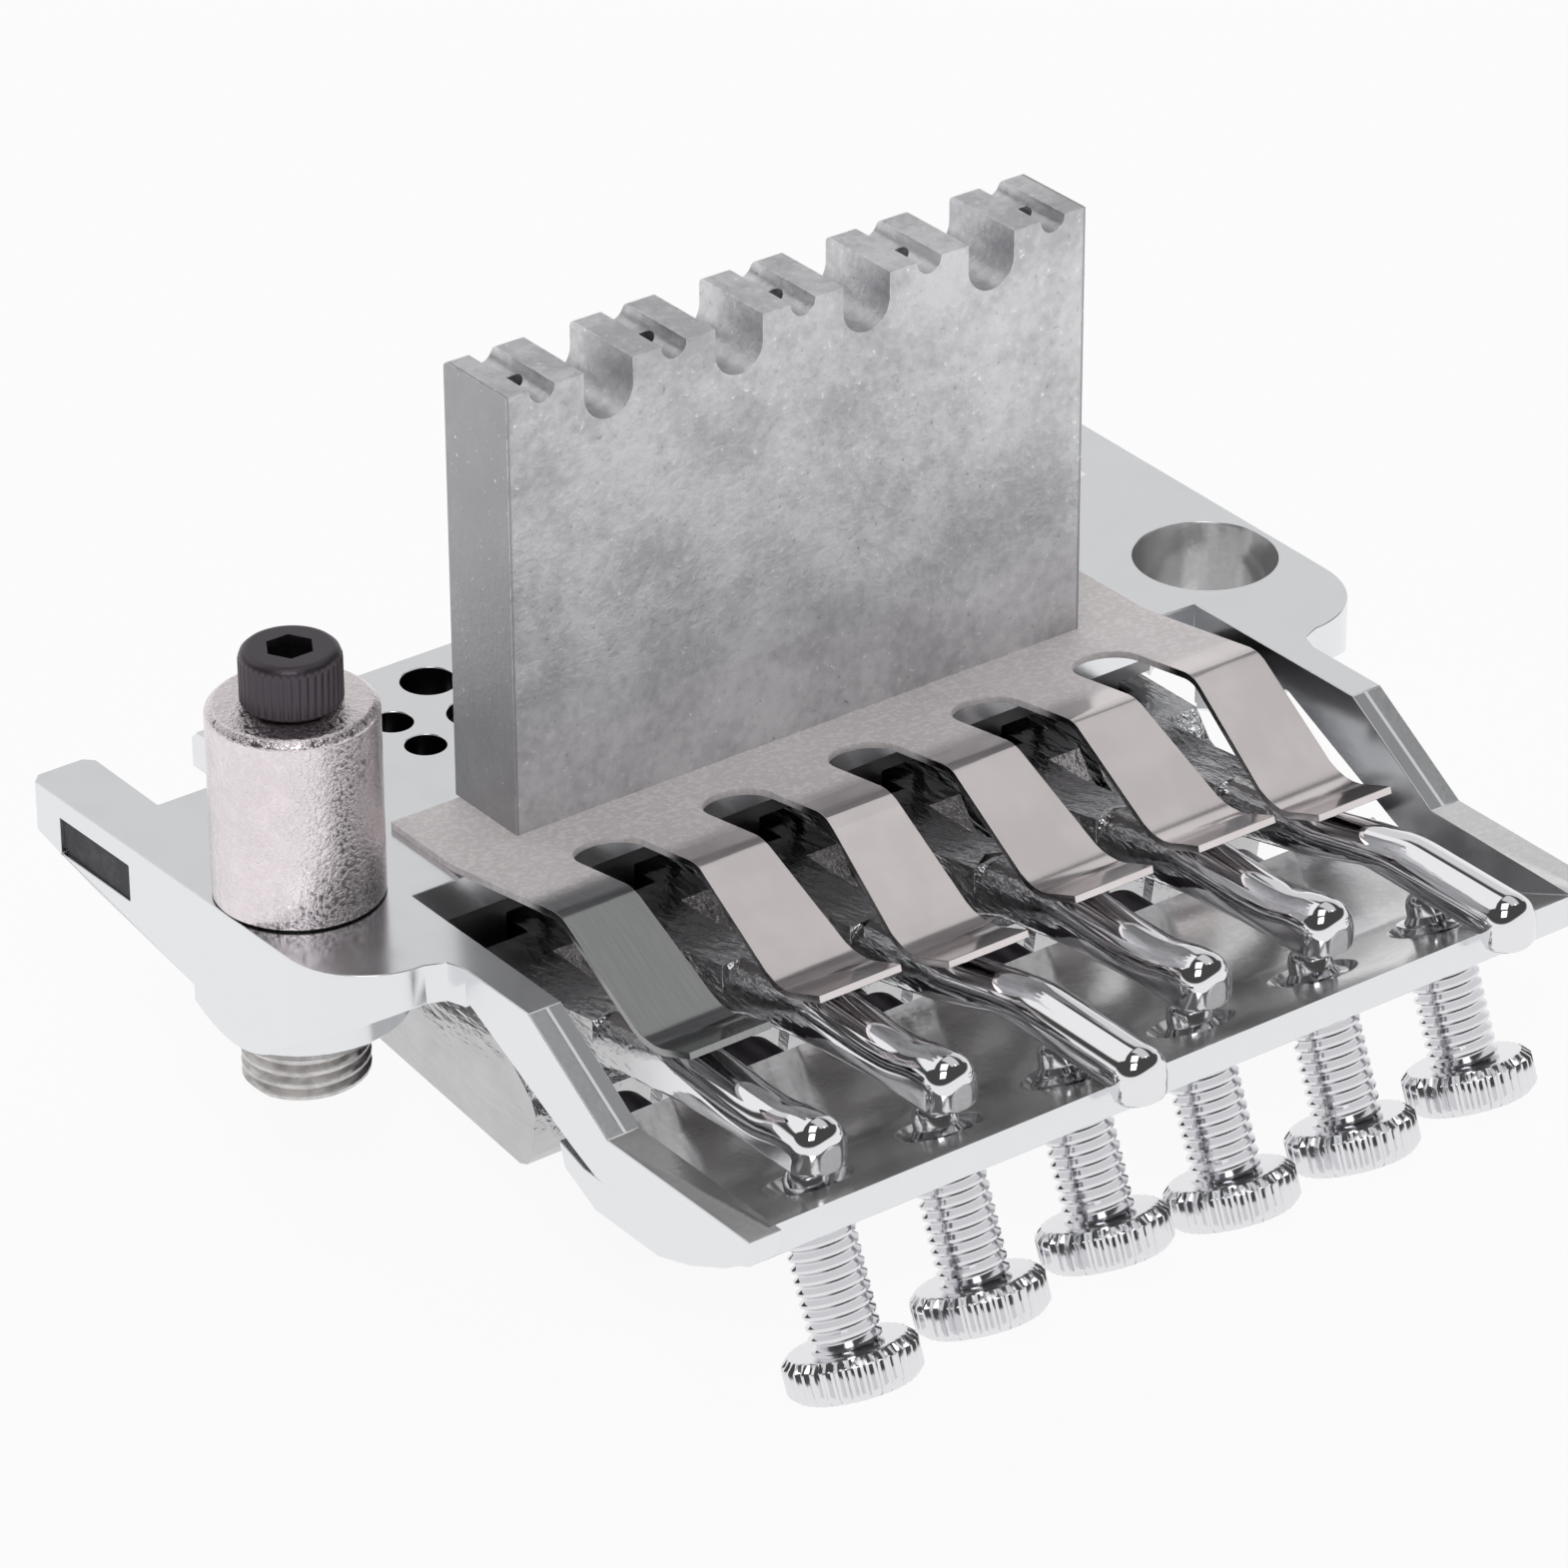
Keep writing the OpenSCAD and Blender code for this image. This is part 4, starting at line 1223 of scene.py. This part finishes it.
@dataclass
class ArmSocket:
    """The arm's barrel, its threaded bushing, its sleeve and its tension screw.

    The neck starts inside the thread, and a solid that cuts another reaches past it by overlap.
    """

    x: float = -39.6
    d: float = -3.9
    thread: Thread = Thread(8.9, 0.95, 0.5)
    thread_h: float = 3.8
    neck_start: float = 1.0
    neck_r: float = 3.7
    bore_r: float = 2.8
    head_r: float = 3.5
    head_h: float = 4.0
    shank_r: float = 2.0
    socket: float = 3.0
    socket_h: float = 2.2
    ridges: int = 40
    ridge_h: float = 0.11
    foot_edge: RolledEdge = RolledEdge(((0.25, 0, 0), (0, 0.25, 0.5), (0, 0.4, 1)))
    top_edge: RolledEdge = RolledEdge(
        ((0.7, 0, 0), (0.4, 0.08, 0), (0.16, 0.3, 0), (0.05, 0.6, 0.2), (0, 0.75, 1))
    )
    barrel_edge: float = 0.18
    neck_edge: float = 0.2
    shank_edge: float = 0.3
    overlap: float = 1.0

    @property
    def axis(self) -> Axis:
        """The socket's axis, from the plate's face upwards."""
        return Axis(DATUM.at(self.x, self.d, 0), Vector((0, 0, 1)))

    def build(self) -> None:
        """Build the socket's four pieces."""
        barrel = Workpiece.cad_copy("barrel_tube", "arm_barrel").bevel(self.barrel_edge, 3, 30).smooth(35)
        barrel.stands_for(Look.BARREL, "satin_nickel", "bridge", "arm_barrel")
        sleeve = Workpiece.cad_copy("grip_sleeve", "arm_sleeve").smooth(35)
        sleeve.stands_for(Look.PLASTIC, "white_plastic", "bridge", "arm_sleeve")
        self._bushing()
        self._screw()

    def _bushing(self) -> None:
        """The bushing: a cut thread under the boss and a plain neck up into the barrel."""
        low, high = (DATUM.back(corner).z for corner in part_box("arm_bushing"))
        work = self.thread.rod("threaded_bushing", self.thread_h)
        work.obj.data.transform(Matrix.Translation(self.axis.point(0, 0, low)))
        neck = [
            (self.neck_r, low + self.neck_start), (self.neck_r, high - self.neck_edge),
            (self.neck_r - self.neck_edge, high),
        ]
        work.join_solid(lathe("neck", self.axis, neck, 48))
        bore = [(self.bore_r, low - self.overlap), (self.bore_r, high + self.overlap)]
        work.join_solid(lathe("bore", self.axis, bore, 48), Meeting.CUT_OUT)
        work.smooth(32).stands_for(Look.STEEL, "zinc_steel", "bridge", "arm_bushing")

    def _screw(self) -> None:
        """The socket cap screw: a knurled head with a hexagon socket, and its shank."""
        low, top = (DATUM.back(corner).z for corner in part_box("arm_tension_screw"))
        foot = top - self.head_h
        rings = self.foot_edge.rings(self.head_r, foot, 1)
        rings += reversed(self.top_edge.rings(self.head_r, top, -1))
        work = knurled("socket_cap_screw", self.axis, rings, self.ridges, self.ridge_h)
        shank = [
            (self.shank_r - self.shank_edge, low), (self.shank_r, low + self.shank_edge),
            (self.shank_r, foot + self.overlap / 2),
        ]
        work.join_solid(lathe("shank", self.axis, shank, 40))
        corner_r = self.socket / 2 / math.cos(math.radians(30))
        socket = [(corner_r, top - self.socket_h), (corner_r, top + self.overlap)]
        work.join_solid(lathe("socket", self.axis, socket, 6), Meeting.CUT_OUT)
        work.smooth(32).stands_for(Look.OXIDE, "black_oxide", "tension_screw", "arm_tension_screw")


@dataclass(frozen=True)
class LeverTurn:
    """How far one lever is turned about its pivot pin."""

    lift: float
    reach: float = 40.8
    pivot_d: float = -5.0
    pivot_z: float = -8.6

    def at(self, x: float, d: float, z: float) -> Vector:
        """Turn a point of the lever.

        Args:
            x: Place across the bridge.
            d: Distance behind the block's rear face, before the turn.
            z: Height over the plate's upper face, before the turn.

        Returns:
            The turned point in the frame.
        """
        angle = math.asin(self.lift / self.reach)
        ahead, over = d - self.pivot_d, z - self.pivot_z
        return DATUM.at(
            x,
            self.pivot_d + ahead * math.cos(angle) - over * math.sin(angle),
            self.pivot_z + ahead * math.sin(angle) + over * math.cos(angle),
        )


Line = tuple[tuple[float, float], ...]


@dataclass(frozen=True)
class Tail:
    """A lever's tail: a bar with a round crown and a domed end, as it lies before the lever is turned."""

    ridge: Line
    belly: Line
    end_d: float
    start_d: float = 13.0
    half_w: float = 2.1
    dome_r: float = 1.7
    corner_r: float = 1.5
    foot_r: float = 0.45
    blend: float = 0.9
    step: float = 0.8

    @staticmethod
    def _level(line: Line, d: float) -> float:
        """The height of a line of straight stretches, level after its last point.

        Args:
            line: The line's points.
            d: A place along it.

        Returns:
            The height there.
        """
        for (near, low), (far, high) in zip(line, line[1:]):
            if d <= far:
                return low + (high - low) * (d - near) / (far - near)
        return line[-1][1]

    def _soft(self, line: Line, d: float) -> float:
        """The height of a line whose corners are rounded off."""
        return sum(self._level(line, d + self.blend * k / 3) for k in range(-3, 4)) / 7

    def section(self, d: float) -> list[tuple[float, float]]:
        """The outline of the tail at one place.

        Args:
            d: The place.

        Returns:
            Points as x and z, counted from the tail's middle.
        """
        dome = max(0.0, d - self.end_d + self.dome_r)
        corner = max(0.0, d - self.end_d + self.corner_r)
        half = self.half_w - self.corner_r + math.sqrt(max(0.0, self.corner_r ** 2 - corner ** 2))
        top = self._soft(self.ridge, d) - self.dome_r + math.sqrt(max(0.0, self.dome_r ** 2 - dome ** 2))
        low = self._level(self.belly, d)
        crown = arc(0, top - half, half, range(0, 181, 15))
        foot = min(self.foot_r, half * 0.6)
        left = arc(foot - half, low + foot, foot, range(180, 271, 30))
        right = arc(half - foot, low + foot, foot, range(270, 361, 30))
        return crown + left + right

    def solid(self, name: str, x: float, turn: LeverTurn) -> Workpiece:
        """Build the tail.

        Args:
            name: The piece's name.
            x: The string's place across the bridge.
            turn: How far the lever is turned.

        Returns:
            The closed tail.
        """
        round_d = self.end_d - self.dome_r
        straight = math.ceil((round_d - self.start_d) / self.step)
        places = [self.start_d + (round_d - self.start_d) * k / straight for k in range(straight)]
        places += [round_d + self.dome_r * math.sin(math.radians(a)) for a in range(0, 91, 10)]
        rings = [[turn.at(x + across, d, z) for across, z in self.section(d)] for d in places]
        return Workpiece.loft(name, rings)


@dataclass
class SaddleSet:
    """The six saddles: levers, bases, pivot pins, insert blocks and screws."""

    lever_edge: float = 0.35
    cut_d: float = 15.0
    long_strings: tuple[int, ...] = (3, 6)
    lifts: tuple[float, ...] = (0.5, 1.1, 0.1, 1.0, 1.2, 0.1)
    small_edge: float = 0.12
    short: Tail = Tail(
        ridge=((9.1, -6.3), (19.6, -4.6), (22.6, -3.6), (24.6, -3.6), (30, -3.9), (33, -3.8), (35.6, -3.1)),
        belly=((11.1, -10.8), (17.6, -8.2), (24.6, -7.3), (30.6, -6.9), (37.4, -6.9), (38.5, -6.6)),
        end_d=38.5,
    )
    long: Tail = Tail(
        ridge=((9.1, -6.3), (19.6, -5.2), (22.6, -4.2), (24.6, -4.2), (30, -2.95), (33, -2.35)),
        belly=((11.1, -11.4), (17.6, -8.8), (24.6, -7.2), (30.6, -5.25), (42.9, -5.25), (43.2, -6.0)),
        end_d=44.8,
    )

    def build(self) -> None:
        """Build each string's saddle."""
        for i in STRINGS:
            lever = Workpiece.cad_copy(f"lever_{i}", f"saddle_lever_{i}")
            lever.cut(DATUM.at(0, self.cut_d, 0), Vector((0, -1, 0))).bevel(self.lever_edge, 3, 20)
            tail = self.long if i in self.long_strings else self.short
            lever.join_solid(tail.solid("tail", string_x(i), LeverTurn(self.lifts[i - 1]))).smooth(35)
            lever.stands_for(Look.LEVER, "polished_chrome", f"saddle_{i}", f"saddle_lever_{i}")
            self._small(f"base_foot_{i}", f"saddle_base_{i}", Look.SADDLE, "chrome_casting", "bridge")
            self._small(f"pin_{i}", f"pivot_pin_{i}", Look.STEEL, "zinc_steel", f"saddle_{i}")
            self._small(f"string_block_{i}", f"insert_block_{i}", Look.STEEL, "zinc_steel", f"insert_{i}")
            self._small(f"string_lock_{i}", f"lock_screw_{i}", Look.OXIDE, "black_oxide", f"lock_{i}")
        self._small("hold_down_set", "hold_down_screws", Look.OXIDE, "black_oxide", "bridge")

    def _small(self, name: str, node: str, look: Look, slot: str, body: str) -> None:
        """Round and dress a small piece that keeps its CAD shape."""
        work = Workpiece.cad_copy(name, node).bevel(self.small_edge, 2, 30)
        work.smooth(35).stands_for(look, slot, body, node)


@dataclass
class TunerSet:
    """The six fine tuners: thread, rounded tip and knurled head."""

    thread: Thread = Thread(4.9, 0.8, 0.42)
    place_d: float = 35.8
    place_z: float = -8.023
    tilt: float = 23.0
    length: float = 14.2
    tip_r: float = 1.6
    neck_r: float = 1.9
    neck_h: float = 0.9
    head_d: float = 9.25
    head_h: float = 3.0
    ridges: int = 34
    ridge_h: float = 0.3
    edge: RolledEdge = RolledEdge(((1.0, 0, 0), (0.55, 0.05, 0.25), (0.12, 0.45, 1), (0, 0.6, 1)))

    def axis(self, i: int) -> Axis:
        """Tuner i's axis, from the bar's slope up to the tip.

        Args:
            i: The tuner's number.

        Returns:
            The axis.
        """
        tilt = math.radians(self.tilt)
        origin = DATUM.at(string_x(i), self.place_d, self.place_z)
        return Axis(origin, Vector((0, math.sin(tilt), math.cos(tilt))))

    def tip_place(self, i: int) -> float:
        """How far up its axis tuner i's tip stands, worked out from its node's highest point."""
        top = DATUM.back(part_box(f"fine_tuner_{i}")[1]).z
        return (top - self.place_z - self.tip_r) / math.cos(math.radians(self.tilt)) + self.tip_r

    def _head(self, axis: Axis, middle: float) -> Workpiece:
        """Turn the knurled head.

        Args:
            axis: The tuner's axis.
            middle: Where the head's middle stands on it, in millimetres.

        Returns:
            The head.
        """
        outer, half = self.head_d / 2, self.head_h / 2
        rings = self.edge.rings(outer, middle - half, 1)
        rings += reversed(self.edge.rings(outer, middle + half, -1))
        return knurled("head", axis, rings, self.ridges, self.ridge_h)

    def build(self) -> None:
        """Build the six tuners."""
        for i in STRINGS:
            axis = self.axis(i)
            tip = self.tip_place(i)
            head = tip - self.length
            turned = Matrix.Rotation(-math.radians(self.tilt), 4, "X")
            threaded = self.length - self.tip_r - self.neck_h
            work = self.thread.rod(f"tuner_{i}", threaded)
            work.obj.data.transform(Matrix.Translation(axis.point(0, 0, head)) @ turned)
            end = [(self.neck_r, threaded - 1), (self.neck_r, threaded + 0.1), (self.tip_r, threaded + 0.5)]
            end += arc(0, self.length - self.tip_r, self.tip_r, range(14, 85, 14))
            tip_axis = Axis(axis.point(0, 0, head), axis.along)
            work.join_solid(lathe("tip", tip_axis, end, 32))
            work.join_solid(self._head(axis, head))
            work.smooth(32)
            work.stands_for(Look.TUNER, "tuner_chrome", f"tuner_{i}", f"fine_tuner_{i}")


@dataclass(frozen=True)
class Softbox:
    """A bright panel of the studio: its direction, and its half sizes as angles in degrees."""

    centre: tuple[float, float, float]
    half_width: float
    half_height: float
    strength: float
    blur: float

    def light(self, tree: ShaderTree, direction: Signal) -> Signal:
        """Add the panel's light to the world's shader.

        Args:
            tree: The world's tree.
            direction: The direction that is looked in.

        Returns:
            The light's strength there.
        """
        ahead = Vector(self.centre).normalized()
        side = ahead.cross(Vector((0, 0, 1))).normalized()
        up = side.cross(ahead)
        dots = [
            tree.add("VectorMath", {"operation": "DOT_PRODUCT"}, {0: direction, 1: v}, "Value")
            for v in (ahead, side, up)
        ]
        front = dots[0].most(0.01)
        wide, high = (math.tan(math.radians(a)) for a in (self.half_width, self.half_height))
        across = abs(dots[1] / front).rise(wide, wide - self.blur)
        upright = abs(dots[2] / front).rise(high, high - self.blur)
        return across * upright * dots[0].rise(0.0, 0.1) * self.strength


@dataclass
class Studio:
    """Floor, sky and camera, with lengths in millimetres and angles in degrees."""

    azimuth: float = -36.91
    elevation: float = 29.47
    roll: float = -0.23
    distance: float = 508.5
    anchor_z: float = 0.6
    shift_right: float = -1.4345
    shift_up: float = -3.8105
    focal_px: float = 7313.0
    photo_px: float = 1570.0
    sensor: float = 36.0
    floor_r: float = 1600.0
    floor_gap: float = 0.05
    room: float = 0.07
    white: float = 0.95
    horizon: tuple[float, float] = (0.30, 0.20)
    boxes: tuple[Softbox, ...] = (
        Softbox((0.45, 0.10, 0.89), 27, 19, 0.68, 0.10),
        Softbox((0.50, -0.30, 0.81), 4.5, 4.5, 1.5, 0.03),
        Softbox((-0.10, -0.10, 0.99), 15, 15, 1.3, 0.05),
        Softbox((-0.40, -0.50, 0.77), 13, 13, 4.0, 0.06),
        Softbox((-0.17, 0.70, 0.69), 27, 19, 1.0, 0.10),
        Softbox((0.60, 0.74, 0.33), 46, 23, 0.76, 0.14),
    )

    def build(self) -> None:
        """Build the studio."""
        self._floor()
        self._sky()
        self._camera()

    def _floor(self) -> None:
        """A round white floor under the bridge."""
        axis = Axis(Vector((0, 0, cad_bounds[0].z - self.floor_gap * MM)), Vector((0, 0, 1)))
        profile = [(self.floor_r, -2), (self.floor_r, -1), (self.floor_r - 1, 0)]
        floor = lathe("studio_floor", axis, profile, 96)
        PaleFloor("pale_floor").coat(floor.obj)

    def _sky(self) -> None:
        """A dark ceiling with softboxes, over a white surround that goes up from the floor."""
        world = bpy.data.worlds.new("studio_sky")
        bpy.context.scene.world = world
        tree = ShaderTree(world)
        direction = tree.add("TexCoord", output="Generated")
        surround = tree.axes(direction)[2].rise(*self.horizon)
        light = self.boxes[0].light(tree, direction).most(self.room)
        for box in self.boxes[1:]:
            light = light.most(box.light(tree, direction))
        strength = light * (1.0 - surround) + self.white * surround
        back = tree.add("Background", {}, {"Color": (1, 1, 1), "Strength": strength})
        tree.finish("OutputWorld", back)

    def _camera(self) -> None:
        """The camera at the photograph's viewing angle."""
        az, el, roll = (math.radians(a) for a in (self.azimuth, self.elevation, self.roll))
        right = Vector((math.cos(az), math.sin(az), 0))
        back = Vector((math.sin(az) * math.cos(el), -math.cos(az) * math.cos(el), math.sin(el)))
        up = back.cross(right)
        place = DATUM.at(0, 0, self.anchor_z) + MM * (
            self.shift_right * right + self.shift_up * up + self.distance * back
        )
        across = math.cos(roll) * right + math.sin(roll) * up
        upright = -math.sin(roll) * right + math.cos(roll) * up
        bpy.ops.object.camera_add()
        camera = bpy.context.object
        camera.name = "photo_camera"
        turned = Matrix((across, upright, back)).transposed().to_4x4()
        camera.matrix_world = Matrix.Translation(place) @ turned
        camera.data.sensor_width = self.sensor
        camera.data.lens = self.sensor * self.focal_px / self.photo_px
        camera.data.clip_start, camera.data.clip_end = 0.01, 20.0
        bpy.context.scene.camera = camera


def main() -> None:
    """Build the sub-assemblies and the studio."""
    logging.basicConfig(level=logging.INFO, format="%(message)s")
    bpy.context.scene.view_settings.view_transform = "Standard"
    for assembly in (BasePlate, SustainBlock, LeafSpring, ArmSocket, SaddleSet, TunerSet, Studio):
        assembly().build()
        log.info("%s is done", assembly.__name__)


if __name__ == "__main__":
    main()
